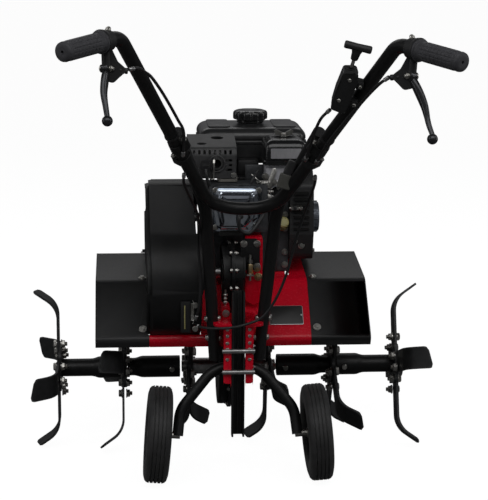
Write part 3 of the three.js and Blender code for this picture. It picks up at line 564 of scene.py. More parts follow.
def sky():
    """Studio surroundings: white behind the machine, softer and darker low down, for reflections."""
    world = bpy.data.worlds.new("world")
    world.use_nodes = True
    nodes, links = world.node_tree.nodes, world.node_tree.links
    background = nodes["Background"]
    place = nodes.new("ShaderNodeTexCoord")
    split = nodes.new("ShaderNodeSeparateXYZ")
    ramp = nodes.new("ShaderNodeValToRGB")
    height = nodes.new("ShaderNodeMapRange")
    height.inputs["From Min"].default_value = -1
    links.new(place.outputs["Generated"], split.inputs["Vector"])
    links.new(split.outputs["Z"], height.inputs["Value"])
    links.new(height.outputs["Result"], ramp.inputs["Fac"])
    stops = ramp.color_ramp.elements
    stops[0].position, stops[0].color = 0.0, (0.03, 0.03, 0.03, 1)
    stops[1].position, stops[1].color = 1.0, (0.02, 0.02, 0.0205, 1)
    for at, shade in ((0.49, 0.05), (0.56, 0.16), (0.66, 0.14), (0.82, 0.05)):
        stop = stops.new(at)
        stop.color = (shade, shade, shade * 1.03, 1)
    rays = nodes.new("ShaderNodeLightPath")
    mix = nodes.new("ShaderNodeMix")
    mix.data_type = "RGBA"
    links.new(rays.outputs["Is Camera Ray"], mix.inputs["Factor"])
    links.new(ramp.outputs["Color"], mix.inputs["A"])
    mix.inputs["B"].default_value = (1, 1, 1, 1)
    links.new(mix.outputs["Result"], background.inputs["Color"])
    return world


def add_floor():
    """White floor: bright to the camera, and grey in what it throws back."""
    mesh = bpy.data.meshes.new("floor")
    reach = 30
    corners = [(-reach, -reach, 0), (reach, -reach, 0), (reach, reach, 0), (-reach, reach, 0)]
    mesh.from_pydata(corners, [], [(0, 1, 2, 3)])
    floor = bpy.data.objects.new("floor", mesh)
    floor.location.z = CAD_BOX[0].z - FLOOR_GAP
    bpy.context.scene.collection.objects.link(floor)
    material = bpy.data.materials.new("floor")
    material.use_nodes = True
    nodes, links = material.node_tree.nodes, material.node_tree.links
    shader = nodes["Principled BSDF"]
    shader.inputs["Roughness"].default_value = 0.9
    shader.inputs["Base Color"].default_value = (0.18, 0.18, 0.18, 1)
    shader.inputs["Specular IOR Level"].default_value = 0.1
    shader.inputs["Emission Color"].default_value = (1, 1, 1, 1)
    rays = nodes.new("ShaderNodeLightPath")
    glow = nodes.new("ShaderNodeMath")
    glow.operation = "MULTIPLY"
    glow.inputs[1].default_value = 0.96
    links.new(rays.outputs["Is Camera Ray"], glow.inputs[0])
    links.new(glow.outputs["Value"], shader.inputs["Emission Strength"])
    mesh.materials.append(material)


def add_stage():
    """Sky, floor and four lamps."""
    bpy.context.scene.view_settings.view_transform = "Standard"
    bpy.context.scene.world = sky()
    add_floor()
    middle = (0, ORIGIN.y, 0.5)
    add_light("key", (0, ORIGIN.y - 2.5, 3.0), middle, 4.6, 1.9, 46)
    add_light("back", (0, ORIGIN.y + 2.6, 2.6), middle, 3.0, 1.0, 10)
    add_light("left", (-2.6, ORIGIN.y - 1.0, 1.6), middle, 0.4, 2.4, 7)
    add_light("right", (2.6, ORIGIN.y - 1.0, 1.6), middle, 0.4, 2.4, 9)


add_camera()
add_stage()

# ------------------------------------------------------------------ handlebar

TUBE_R = 12.7
SLOPE = radians(43)
BAR_LOW = (-335, 596)
BAR_CORNER_X = 63
BAR_SPLAY = 0.328
BAR_LENGTH = 528
PIVOT_S = 200
GRIP_END = Vector((321, -850, 940))
LEVER_HUB = Vector((256, -756, 906))
LEVER_TIPS = {"left": Vector((252, -801, 824)), "right": Vector((290, -799, 806))}
LEVER_AXIS = Vector((-0.69, -0.46, 0.06)).normalized()
BAR_TURNS_ON = (-481, 760)  # Y, Z of the point that the bar is turned about
BAR_POSE = (move(REAR_X, *BAR_TURNS_ON) @ rotate("Y", 1.3)
            @ rotate("Z", -1.5) @ move(0, -BAR_TURNS_ON[0], -BAR_TURNS_ON[1]))
MIRROR = Matrix.Scale(-1, 4, (1, 0, 0))


def bar_point(s):
    """Point of the right straight, s mm up from the corner."""
    return Vector((BAR_CORNER_X + BAR_SPLAY * s, BAR_LOW[0] - s * cos(SLOPE),
                   BAR_LOW[1] + s * sin(SLOPE)))


def posed(side):
    """The bar's frame, mirrored for the left hand."""
    return BAR_POSE if side > 0 else BAR_POSE @ MIRROR


def grip_matrix():
    """From the end of the right grip, along the tube."""
    return aim(GRIP_END, bar_point(BAR_LENGTH) - GRIP_END)


def build_bar():
    """Upper bar, one bent tube from grip to grip."""
    right = [bar_point(0), bar_point(BAR_LENGTH), GRIP_END]
    route = bent([*(MIRROR @ p for p in reversed(right)), *right], [22, 62, 62, 22], 12)
    form = Form(BAR_POSE)
    form.add(tube(route, TUBE_R, 28))
    piece("upper_bar", form, "black_coat", "handlebar", ["upper_handlebar"])


def grip_sleeve():
    """Rubber sleeve with rows of square tread blocks, a flange and a domed end with a small hole."""
    blocks, per_block, pitch = 14, 6, 9.5
    n = blocks * per_block

    def block_height(i, z):
        """How far the tread stands out here, from 0 to 1."""
        across = (i % per_block) / per_block
        along = (z / pitch) % 1
        raised = min(smoothstep(across / 0.2), smoothstep((1 - across) / 0.2),
                     smoothstep(along / 0.14), smoothstep((1 - along) / 0.14))
        return raised * smoothstep((z - 6) / 3) * smoothstep((88 - z) / 3)

    rings = [[(0, 0, 2)], *([(x, y, z) for x, y in circle(r, n)] for r, z in (
        (2.6, 2), (2.8, -4.6), (9, -5.2), (14, -4.2), (16.2, -2), (16.9, 1.5)))]
    z = 3.0
    while z < 92:
        radii = [15.9 + 1.1 * block_height(i, z) for i in range(n)]
        rings.append([(r * cos(i * TURN / n), r * sin(i * TURN / n), z) for i, r in enumerate(radii)])
        z += 1.2
    for r, z in ((16.3, 94), (17.2, 96.5), (19.3, 97.5), (19.5, 99), (19.5, 102), (19, 103.6),
                 (14, 104), (13.1, 103.5)):
        rings.append([(x, y, z) for x, y in circle(r, n)])
    return skin(rings, closed_ends=False)


def build_grips():
    """The two rubber sleeves."""
    for name, side in SIDES:
        form = Form(posed(side))
        form.add(grip_sleeve(), grip_matrix())
        piece(f"grip_sleeve_{name}", form, "grip_rubber", "handlebar", [f"grip_{name}"])


def build_perches():
    """Lever bracket: split clamp, pinch bolt, fan-shaped cable guide, pivot and cable barrel."""
    along = (bar_point(BAR_LENGTH) - GRIP_END).normalized()
    seat = aim(GRIP_END + along * 107, along)
    fan = fillet([(-4, 30), (9, 24), (13, -4), (8, -24), (-8, -28), (-18, -18), (-27, -10),
                  (-27, -2), (-15, 8)], [4, 4, 6, 6, 8, 5, 2.5, 2.5, 6])
    for name, side in SIDES:
        form = Form(posed(side))
        form.add(lathe([(13, 0), (17.4, 0), (18.2, 1), (18.2, 15), (17.4, 16), (13, 16), (13, 0)], 40), seat)
        form.add(lathe([(13, -6), (20.6, -6), (21, -4), (20, 1), (13, 1), (13, -6)], 40), seat)
        neck = GRIP_END + along * 115
        to_hub = (LEVER_HUB - neck).normalized()
        form.add(tube([neck + to_hub * 15, LEVER_HUB - to_hub * 4], 8, 12))
        form.add(slab_y(fan, -2.6, 2.6), move(252, -757, 910))
        form.add(tube([LEVER_HUB - LEVER_AXIS * 9, LEVER_HUB + LEVER_AXIS * 9], 5, 16), look=1)
        form.bolt(LEVER_HUB - LEVER_AXIS * 9, -LEVER_AXIS, 9, 4, 7, look=1)
        form.bolt(LEVER_HUB + LEVER_AXIS * 9, LEVER_AXIS, 8, 4, 0, stud=3, look=1)
        pinch = GRIP_END + along * 111 + Vector((-6, 6, 19))
        form.bolt(pinch, (0.5, -0.6, 0.4), 7, 4, 5.5, look=1)
        form.bolt(pinch + Vector((14, -4, -22)), (0.7, -0.7, 0), 6, 3.5, 0, look=1)
        barrel = Vector((226, -754, 904))
        form.add(lathe([(0, 14), (4.4, 14), (5.2, 12.5), (5.2, 9), (4, 8), (4, 4), (6.2, 3.4),
                        (6.2, 0), (0, 0)], 18), aim(barrel + Vector((8, 0, 0)), (-1, 0, -0.12)))
        piece(f"perch_{name}_body", form, ["matt_plastic", "zinc"], "handlebar", [f"perch_{name}"])


def build_levers():
    """Blade lever: broad at the hub, waisted, thin at the end, with a safety ball."""
    hub = LEVER_HUB

    def width(t):
        """Breadth and thickness along the blade, as shares of the section."""
        return 1.0 + 0.45 * sin(pi * min(t * 1.5, 1)) - 0.45 * t, 1.0 - 0.25 * t

    for name, side in SIDES:
        tip = LEVER_TIPS[name]
        path = spline([hub + Vector((0, 1, -2)), hub.lerp(tip, 0.22) + Vector((3, 0, 0)),
                       hub.lerp(tip, 0.48) + Vector((5, 0, 0)), hub.lerp(tip, 0.76) + Vector((2, 0, 0)),
                       tip + Vector((0, 1, 6))], 8)
        form = Form(posed(side))
        section = [(u * 6.8, v * 6.2) for u, v in circle(1, 20)]
        form.add(sweep(path, section, width, up=LEVER_AXIS))
        form.ball(tip, 9.2)
        form.add(lathe([(0, 6), (8, 6), (8.8, 5), (8.8, -5), (8, -6), (0, -6)], 28), aim(hub, LEVER_AXIS))
        piece(f"lever_{name}_blade", form, "polished_black", f"lever_{name}", [f"lever_{name}"])


look("polished_black", "black_coat", (0.045, 0.046, 0.05), 0.2, metal=0.6, grain=0.05, mottle=0.12)

BOX_POSE = BAR_POSE @ move(157, -638, 871) @ (
    rotate("Y", 12) @ rotate("X", 29))


def build_control_box():
    """Moulded switch box clamped to the right tube, with a pull T on top."""
    form = Form(BOX_POSE)
    outline = fillet([(-14, -42), (12, -46), (16, -20), (17, 30), (9, 44), (-13, 38), (-15, 0)],
                     [7, 5, 8, 10, 7, 7, 20], 6)
    form.add(slab_y(outline, -13, 1), bevel=1.6, steps=3)
    form.add(slab_y([(x * 0.985, z * 0.985) for x, z in outline], 1.4, 13), bevel=1.6, steps=3)
    for x, z in ((-4, -20), (3, 26)):
        form.add(lathe([(0, 0.8), (3, 0.8), (3.6, 0), (0, 0)], 20), move(x, -13, z) @ rotate("X", 90),
                 look=1)
    form.add(pipe(3.2, 5.5, 3, 24), move(0, 0, 40))
    for z in (-24, 16):
        form.add(block(15, 30, -9, 9, z - 7, z + 7), bevel=2)
        form.bolt((24, -9, z), (0, -1, 0), 7, 3, 0, look=1)
    piece("switch_box", form, ["matt_plastic", "zinc"], "handlebar", ["control_box"])

    form = Form(BOX_POSE)
    form.add(tube([(0, 0, 46), (0, 0, 70)], 3.2, 14), look=1)
    form.add(skin([[(x * w, y * d, z) for x, y in circle(1, 24)] for w, d, z in (
        (6, 5, 62), (6.6, 5.2, 63), (8, 5.6, 76), (11, 6, 84))]))
    form.add(lathe([(0, 24), (5.6, 24), (6.8, 22.6), (7, 20), (6.6, 8), (6.4, 0), (6.6, -8), (7, -20),
                    (6.8, -22.6), (5.6, -24), (0, -24)], 28),
             move(0, 0, 88) @ rotate("Y", 90))
    piece("pull_t", form, ["matt_plastic", "zinc"], "t_handle", ["t_handle"])


def build_clamps():
    """Pivot ears, collars and a cable tie where the upper bar is bolted over the lower tubes."""
    normal = Vector((0, sin(SLOPE), cos(SLOPE)))
    up_bar = Vector((BAR_SPLAY, -cos(SLOPE), sin(SLOPE))).normalized()
    across = up_bar.cross(normal).normalized()
    for name, side in SIDES:
        form = Form(posed(side))
        for s, width, reach in ((PIVOT_S + 14, 22, 1), (PIVOT_S - 26, 18, -1)):
            basis = Matrix((across, up_bar, normal)).transposed().to_4x4()
            basis.translation = bar_point(s)
            ring = circle(TUBE_R + 0.1, 28)
            ear = band((0, 0), 15.4, (reach * 15, 2), 8, 14)
            form.add(slab_y(ear, -width / 2, width / 2, [ring]), basis, bevel=1.4, steps=3)
            hole = basis @ Vector((reach * 16.5, 0, 2))
            form.bolt(hole - up_bar * (width / 2), -up_bar, 7, 3.4, 5.2, look=1)
            form.bolt(hole + up_bar * (width / 2), up_bar, 7, 3.4, 5.2, stud=2, look=1)
        tie = bar_point(PIVOT_S + 46)
        form.add(lathe([(TUBE_R, -2.4), (14, -2.4), (14.3, 0), (14, 2.4), (TUBE_R, 2.4), (TUBE_R, -2.4)], 28),
                 aim(tie, up_bar), look=2)
        piece(f"clamp_{name}", form, ["black_coat", "zinc", "matt_plastic"], "handlebar")


BAR_CABLES = {
    "clutch_cable_upper": [(-219, -751, 905), (-204, -738, 906), (-192, -720, 898), (-180, -698, 886),
                           (-159, -630, 849), (-134, -561, 799), (-122, -530, 771), (-122, -494, 722)],
    "reverse_cable_upper": [(219, -751, 903), (206, -735, 890), (192, -698, 866), (168, -632, 819),
                            (141, -554, 761), (126, -494, 714)],
    "throttle_cable": [(136, -611, 829), (123, -585, 809), (115, -555, 779), (112, -515, 748),
                       (108, -478, 716)],
}
CHASSIS_CABLES = {
    "clutch_cable_lower": [(-115, -456, 686), (-114, -430, 662), (-98, -375, 620), (-85, -330, 588),
                           (-80, -294, 548), (-80, -268, 512), (-75, -262, 442), (-77, -252, 378),
                           (-84, -240, 346)],
    "reverse_cable_lower": [(134, -452, 680), (136, -432, 662), (131, -378, 616), (123, -334, 571),
                            (113, -304, 518), (100, -284, 454), (80, -272, 398), (54, -266, 358),
                            (24, -265, 343), (-10, -265, 335), (-46, -263, 333), (-68, -246, 331),
                            (-84, -226, 332)],
}


def build_cables():
    """Sheathed cables with a ferrule at each end, along their own routes."""
    for table, body, matrix in ((BAR_CABLES, "handlebar", BAR_POSE), (CHASSIS_CABLES, "chassis", None)):
        for name, points in table.items():
            form = Form(matrix)
            path = spline(points, 9)
            form.add(tube(path, 2.8, 14))
            for end, inner in ((path[0], path[2]), (path[-1], path[-3])):
                form.add(lathe([(0, 12), (3, 12), (3.8, 11), (3.8, 1), (3.2, 0), (0, 0)], 16),
                         aim(end, inner - end), look=1)
            sheath = piece(f"{name}_sheath", form, ["cable_rubber", "bare_steel"], body, [name])


build_bar()
build_grips()
build_perches()
build_levers()
build_control_box()
build_clamps()
build_cables()

# ------------------------------------------------------------------ lower handle tubes, hitch, stake


def build_handle_tubes():
    """Lower tubes, from the chain case up to the clamps of the bar."""
    lift = 31.8  # between the axes of the two tubes at the clamp
    normal = Vector((0, sin(SLOPE), cos(SLOPE)))
    for name, side in SIDES:
        top = bar_point(PIVOT_S + 16) + normal * lift
        top.x = REAR_X + side * top.x
        route = bent([(REAR_X + side * 46, -196, 251), (REAR_X + side * 71.5, -299, 595), top], 45, 14)
        form = Form()
        form.add(tube(route, TUBE_R, 28))
        for z in (300, 344):
            t = (z - 251) / 344
            x = REAR_X + side * (46 + 25.5 * t)
            y = -196 - 103 * t
            form.bolt((x + side * (TUBE_R - 0.6), y, z), (side, 0, 0.05), 10, 5, 7.5, look=1)
            form.bolt((x - side * (TUBE_R - 0.6), y, z), (-side, 0, 0.05), 10, 5, 7.5, look=1)
        piece(f"lower_tube_{name}", form, ["black_coat", "zinc"], "chassis", [f"handle_tube_{name}"])


def build_hitch():
    """Red hitch: two upright flanges, a lobed shelf, a back plate and two clevis pins."""
    form = Form()
    x = REAR_X
    for side in (-1, 1):
        inner, outer = x + side * 14.5, x + side * 31
        a, b = min(inner, outer), max(inner, outer)
        lower = [(a, 210), (b, 210), (b, 338), (a, 338)]
        radii = [4, 12, 4, 2] if side > 0 else [12, 4, 2, 4]
        form.add(slab_y(fillet(lower, radii, 8), -248, -244), bevel=0.8)
        web = inner + side * 4
        form.add(block(min(inner, web), max(inner, web), -246, -134, 274, 337), bevel=0.8)
        lobe = fillet([(inner, -258), (x + side * 52, -258), (x + side * 52, -216), (x + side * 38, -200),
                       (x + side * 38, -156), (inner, -156)], [2, 20, 16, 10, 10, 2], 8)
        form.add(slab(lobe if side > 0 else lobe[::-1], 334, 339.5), bevel=0.8)
        for z in (326, 312, 297, 284, 262):
            form.bolt((x + side * 23, -248, z), (0, -1, 0), 5, 2.6, 3.6, look=1, spin=z)
    form.add(block(x - 17, x + 17, -160, -154, 286, 338), bevel=0.8)
    piece("hitch", form, ["red_gloss", "zinc"], "chassis", ["hitch_bracket"])

    pins = Form()
    for z in (281, 236):
        pins.add(lathe([(0, 34), (4.2, 34), (5, 33), (5, -33), (4.2, -34), (0, -34)], 20),
                 move(x, -252, z) @ rotate("Y", 90))
        pins.add(tube([(x + 30, -252, z - 7), (x + 30, -252, z + 7), (x + 34, -254, z + 12),
                       (x + 30, -256, z + 14)], 1.3, 8))
    piece("hitch_pins", pins, "bare_steel", "chassis")


def build_stake():
    """Folded channel of the drag stake."""
    x, half, back, front, wall = REAR_X, 13.5, -247, -223, 4
    outline = fillet([(x - half, back), (x - half + wall, back), (x - half + wall, front - wall),
                      (x + half - wall, front - wall), (x + half - wall, back), (x + half, back),
                      (x + half, front), (x - half, front)], [1.5, 1.5, 3, 3, 1.5, 1.5, 5, 5], 5)
    form = Form()
    form.add(slab(outline, 93, 404), bevel=0.6, least=60)
    form.add(block(x - 1.2, x + 1.2, -232, -226, 96, 400), bevel=0.5)
    piece("stake", form, ["black_coat"], "drag_stake", ["drag_stake"])


build_handle_tubes()
build_hitch()
build_stake()

# ------------------------------------------------------------------ wheels

WHEEL_AT = (167, -240, 100)
CAMBER = radians(4.5)


def wheel_matrix(side):
    """From a wheel turned about +Z to its place, leaning with the camber."""
    return (move(REAR_X + side * WHEEL_AT[0], *WHEEL_AT[1:])
            @ Matrix.Rotation(-side * CAMBER, 4, "Y") @ rotate("Y", side * 90))


def build_wheels():
    """Solid rubber tyre with four grooves on a dished steel disc."""
    tread = [(64, -24), (74, -25), (88, -25), (96, -22.5), (99.6, -19), (100.8, -15.5)]
    for centre in (-12, -4, 4, 12):
        tread += [(101.4, centre - 2.6), (101.4, centre - 1.5), (98.6, centre - 0.8), (98.6, centre + 0.8),
                  (101.4, centre + 1.5), (101.4, centre + 2.6)]
    tread += [(100.8, 15.5), (99.6, 19), (96, 22.5), (88, 25), (74, 25), (64, 24)]
    sidewall = [(60, 20), (60, -20), (64, -24)]
    rim = [(60.5, 17), (57, 19), (54.5, 17), (53, 8), (46, 3), (30, 1), (24, 4), (20, 10), (12, 12), (8, 12),
           (8, -12), (12, -12), (20, -8), (24, -3), (30, -3), (46, -1), (53, 2), (54.5, -16), (57, -19),
           (60.5, -17), (60.5, 17)]
    for name, side in SIDES:
        form = Form(wheel_matrix(side))
        form.add(lathe(tread + sidewall, 96))
        form.add(lathe(rim, 72), look=1)
        for i in range(5):
            a = i * TURN / 5 + 0.3
            form.add(lathe([(0, 1.6), (4.5, 1.6), (6, 0), (0, 0)], 16),
                     move(38 * cos(a), 38 * sin(a), 1.2), look=1)
        piece(f"wheel_{name}_tyre", form, ["tyre_rubber", "black_coat"], f"wheel_{name}", [f"wheel_{name}"],
              smooth=40)


def build_wheel_bracket():
    """Bent arch that carries both wheels, with their axle bolts."""
    half = [(REAR_X + x, y, z) for x, y, z in ((46, -196, 232), (120, -222, 146), (126, -240, 96))]
    other = [(2 * REAR_X - x, y, z) for x, y, z in half]
    form = Form()
    form.add(tube(bent([*reversed(other), *half], [18, 34, 34, 18], 12), 11.5, 26))
    for _, side in SIDES:
        m = wheel_matrix(side)
        inward = m.to_3x3() @ Vector((0, 0, -1))
        centre = m.translation
        form.add(tube([centre + inward * 46, centre - inward * 22], 7, 20), look=1)
        form.bolt(centre + inward * 13, inward, 19, 9, 14, stud=7, look=1)
        form.bolt(centre - inward * 13, -inward, 19, 8, 14, stud=2, look=1)
    piece("wheel_arch", form, ["black_coat", "zinc"], "wheel_bracket", ["wheel_bracket"])


build_wheels()
build_wheel_bracket()

# ------------------------------------------------------------------ tine rotor

HUB_X = (88, 230, 372)
PHASES = {"left": (30, -20, 0), "right": (8, 30, -20)}
BLADE_W, BLADE_T, STRAIGHT, BEND_R = 48, 5, 116, 50


def blade(bend, tip):
    """Blade along -Z from the hub centre, bent towards +X, with rounded, slanted end."""
    root = 16
    length = STRAIGHT + BEND_R * bend + tip - root
    rows, columns = 40, 10
    half = BLADE_W / 2
    corner = 9

    def place(u, across, through):
        """Point u mm along the blade, across its width and through its thickness."""
        if u <= STRAIGHT:
            r, x, a = u, 0.0, 0.0
        else:
            a = min((u - STRAIGHT) / BEND_R, bend)
            rest = max(u - STRAIGHT - BEND_R * bend, 0)
            r = STRAIGHT + BEND_R * sin(a) + rest * cos(bend)
            x = BEND_R * (1 - cos(a)) + rest * sin(bend)
        return (x + through * cos(a), across, -(r - through * sin(a)))

    rings = []
    for i in range(rows + 1):
        u = root + length * i / rows
        end = root + length - u
        near = max(corner - end, 0)
        inset = corner - (max(corner**2 - near**2, 0)) ** 0.5
        ring = []
        points = [(-half + inset + (BLADE_W - 2 * inset) * j / columns) for j in range(columns + 1)]
        slant = smoothstep((u - length + tip) / (tip + root))
        t = BLADE_T / 2 - (0.9 if end < 0.5 else 0)
        for across in points:
            ring.append(place(u + slant * 12 * across / BLADE_W, across, t))
        for across in reversed(points):
            ring.append(place(u + slant * 12 * across / BLADE_W, across, -t))
        rings.append(ring)
    return skin(rings)


def build_rotor():
    """Six stars of four bolted blades, the sleeves between them and the shaft."""
    lift = move(0, *AXLE)
    for name, side in SIDES:
        for i, where in enumerate(("inner", "middle", "outer")):
            inner = i == 0
            star = move(side * HUB_X[i], *AXLE) @ rotate("X", PHASES[name][i])
            form = Form(star)
            plate = rounded(-44, 44, -44, 44, 12, 6)
            bore = 19.9 if i == 2 else 13.4
            corners = [(31 * sx, 31 * sy) for sx in (-1, 1) for sy in (-1, 1)]
            holes = [circle(bore, 32)] + [circle(5.2, 16, *corner) for corner in corners]
            form.add(slab_x(plate, -3, 3, holes), bevel=0.5, least=60)
            for k in range(4):
                if not inner:
                    away, bend, tip = side, radians(55), 33
                elif k % 2:
                    away, bend, tip = side, radians(38), 28
                else:
                    away, bend, tip = -side, radians(55), 28
                turn = rotate("X", k * 90)
                shift = move(away * (1.5 + BLADE_T / 2), 0, 0)
                flip = Matrix.Scale(away, 4, (1, 0, 0)) if away < 0 else Matrix.Identity(4)
                part = blade(bend, tip)
                if away < 0:
                    bmesh.ops.reverse_faces(part, faces=part.faces)
                form.add(part, turn @ shift @ flip)
                for across, r in ((-13, 36), (13, 58)):
                    at = turn @ Vector((away * (1.5 + BLADE_T), across, -r))
                    form.bolt(at, (away, 0, 0), 15, 8, 10, look=1, spin=k + r)
                    form.bolt((at.x - away * (BLADE_T + 4.6), at.y, at.z), (-away, 0, 0), 15, 8, 10,
                              stud=5, look=1, spin=r)
            piece(f"star_{where}_{name}", form, ["tine_black", "zinc"], "tine_rotor",
                  [f"tines_{where}_{name}"], smooth=30)
        mirror = Matrix.Scale(side, 4, (1, 0, 0)) if side < 0 else Matrix.Identity(4)
        turn = rotate("Y", 90)
        for where, start, neck, end in (("inner", 108, 196, 224), ("outer", 240, 290, 380)):
            form = Form(lift @ mirror @ turn)
            profile = [(13.6, start), (23.2, start), (24, start + 1), (24, neck - 6), (23.4, neck - 1),
                       (21, neck + 6), (19.8, neck + 11), (19.5, neck + 16), (19.5, end - 1), (18.8, end),
                       (13.6, end), (13.6, start)]
            form.add(lathe(profile, 48))
            x = start + 18
            for angle in (90, -90):
                form.add(lathe([(0, 29), (5, 29), (6, 28), (6, 24), (0, 24)], 18),
                         move(0, 0, x) @ rotate("X", angle), look=1)
            clip = [(r * cos(a), 26 + r * sin(a) * 0.5, x + 6 + 0.5 * k) for k, (r, a) in enumerate(
                ((12, 0.2), (15, 0.8), (16, 1.6), (14, 2.4), (9, 3.0), (6, 3.8), (8, 4.6)))]
            form.add(tube(spline(clip, 5), 1.3, 8), look=1)
            piece(f"sleeve_{where}_{name}", form, ["black_coat", "zinc"], "tine_rotor",
                  [f"{where}_tube_{name}"], smooth=30)
    form = Form(lift @ rotate("Y", 90))
    form.add(lathe([(0, 104), (12, 104), (13, 103), (13, 80), (18, 78.5), (18, 25), (13, 24), (13, -24),
                    (18, -25), (18, -78.5), (13, -80), (13, -103), (12, -104), (0, -104)], 36))
    piece("axle", form, "bare_steel", "tine_rotor", ["tine_shaft"])


build_rotor()

# ------------------------------------------------------------------ chain case and belt drive


def build_chain_case():
    """Two pressed halves with a flange, bearing bosses, ribs and bolts round the seam."""
    for name, side in SIDES:
        form = Form()
        a, b = (0.2, 3.4), (2.4, 20)
        span = (lambda p: (-p[1], -p[0])) if side < 0 else (lambda p: p)
        form.add(slab_x(band(AXLE, 92, INPUT, 70, 40), *span(a)), bevel=0.7, least=50)
        form.add(slab_x(band(AXLE, 84, INPUT, 62, 40), *span(b)), bevel=5, steps=4, least=50)
        for centre, radius, reach in ((AXLE, 34, 24), (INPUT, 30, 25)):
            form.add(lathe([(0, reach), (radius - 6, reach), (radius - 2, reach - 3), (radius, 15),
                            (0, 15)], 40),
                     move(0, *centre) @ rotate("Y", side * 90))
        heading = Vector((INPUT[0] - AXLE[0], INPUT[1] - AXLE[1])).normalized()
        for offset in (-38, 0, 38):
            p = Vector(AXLE) + heading * 92 + Vector((-heading.y, heading.x)) * offset * 0.8
            q = Vector(AXLE) + heading * 196 + Vector((-heading.y, heading.x)) * offset * 0.6
            x = side * 20
            form.add(tube([(x, *p), (x, *q)], 2.6, 10))
        for k, (y, z) in enumerate(band(AXLE, 88, INPUT, 66, 5)):
            form.bolt((side * 3.4, y, z), (side, 0, 0), 8, 5, 5.5, stud=max(side, 0) * 3, look=1, spin=k)
        piece(f"case_{name}", form, ["black_coat", "zinc"], "chassis", [f"chain_case_{name}"])


GUARD_LOW = (-110, 401)
GUARD_LEFT, GUARD_RIGHT = -181, -69


def guard_outline(inset):
    """Side view of the belt guard, drawn in by this much."""
    return band(GUARD_LOW, 124 - inset, CRANK, 84 - inset, 64)


def build_belt_guard():
    """Deep pressed cover round both pulleys, its closed end stepped in, cut round above the tines."""
    wall, step, drum = 2.5, 8, GUARD_LEFT + 9
    form = Form()
    form.add(slab_x(guard_outline(0), drum, GUARD_RIGHT), bevel=4.5, steps=5, least=50)
    form.add(slab_x(guard_outline(step), GUARD_LEFT, drum + 6), bevel=3, steps=4, least=50)
    cuts = Form()
    cuts.add(slab_x(guard_outline(wall), drum + wall, GUARD_RIGHT + 5))
    cuts.add(lathe([(0, -20), (189, -20), (189, 150), (0, 150)], 120),
             move(GUARD_LEFT, *AXLE) @ rotate("Y", 90))
    piece("belt_cover", form, "black_coat", "chassis", ["belt_guard"], cuts=cuts, smooth=30)

    form = Form()
    form.add(slab_x(fillet([(-236, 318), (-222, 318), (-150, 296), (-150, 330), (-232, 384), (-236, 380)], 5),
                    -98, -94), bevel=0.7)
    form.add(block(-114, -94, -238, -235, 318, 384), bevel=0.7)
    form.add(block(-107, -104.6, -238.6, -237.5, 326, 376), bevel=0.3, look=2)
    for z in (326, 376):
        form.bolt((-84, -238, z), (0, -1, 0), 8, 4, 6, look=1)
    for y, z in ((-60, 522), (-100, 466), (-196, 444), (-206, 422)):
        form.bolt((GUARD_RIGHT + 0.2, y, z), (1, 0, 0), 10, 5, 8, stud=4, look=1)
    coil = [(-90 + 3.2 * cos(k * 1.1), -242 + 3.2 * sin(k * 1.1), 344 + 0.42 * k) for k in range(92)]
    form.add(tube([(-90, -242, 338), *coil, (-90, -242, 388)], 0.7, 6), look=1)
    form.bolt((-98, -162, 299), (0, -0.6, -0.8), 11, 6, 9, look=1)
    form.add(block(-68.6, -54.6, -64, -60, 424, 590), bevel=1.2)
    piece("belt_guard_bracket", form, ["black_coat", "zinc", "olive_plastic"], "chassis")


build_chain_case()
build_belt_guard()

# ------------------------------------------------------------------ mudguards

FENDER = [(172, 372), (92, 418), (-85, 394), (-189, 290), (-180, 272)]
FENDER_T = 2.5
SEAM_LEFT, SEAM_RIGHT = -178, 164
FENDER_HALF = 291


def under(profile, depth):
    """The profile's points moved square to the sheet, towards its underside."""
    out = []
    for i, point in enumerate(profile):
        here = Vector(point)
        normals = []
        for a, b in ((i - 1, i), (i, i + 1)):
            if a >= 0 and b < len(profile):
                run = (Vector(profile[b]) - Vector(profile[a])).normalized()
                normals.append(Vector((-run.y, run.x)))
        normal = sum(normals, Vector((0, 0))).normalized()
        out.append(tuple(here + normal * depth / max(normal.dot(normals[0]), 0.3)))
    return out


def fender_sheet(x0, x1):
    """Bent sheet of the mudguards, from x0 to x1."""
    top = fillet_open(FENDER, 9)
    return slab_x([*top, *reversed(under(top, FENDER_T))], x0, x1)


def fillet_open(points, radius, n=5):
    """Round an open line's inner corners."""
    out = [points[0]]
    for before, point, after in zip(points, points[1:], points[2:]):
        here = Vector(point)
        a = here + (Vector(before) - here).normalized() * radius
        b = here + (Vector(after) - here).normalized() * radius
        out += [(q.x, q.y) for q in eased(a, here, b, n)]
    out.append(points[-1])
    return out


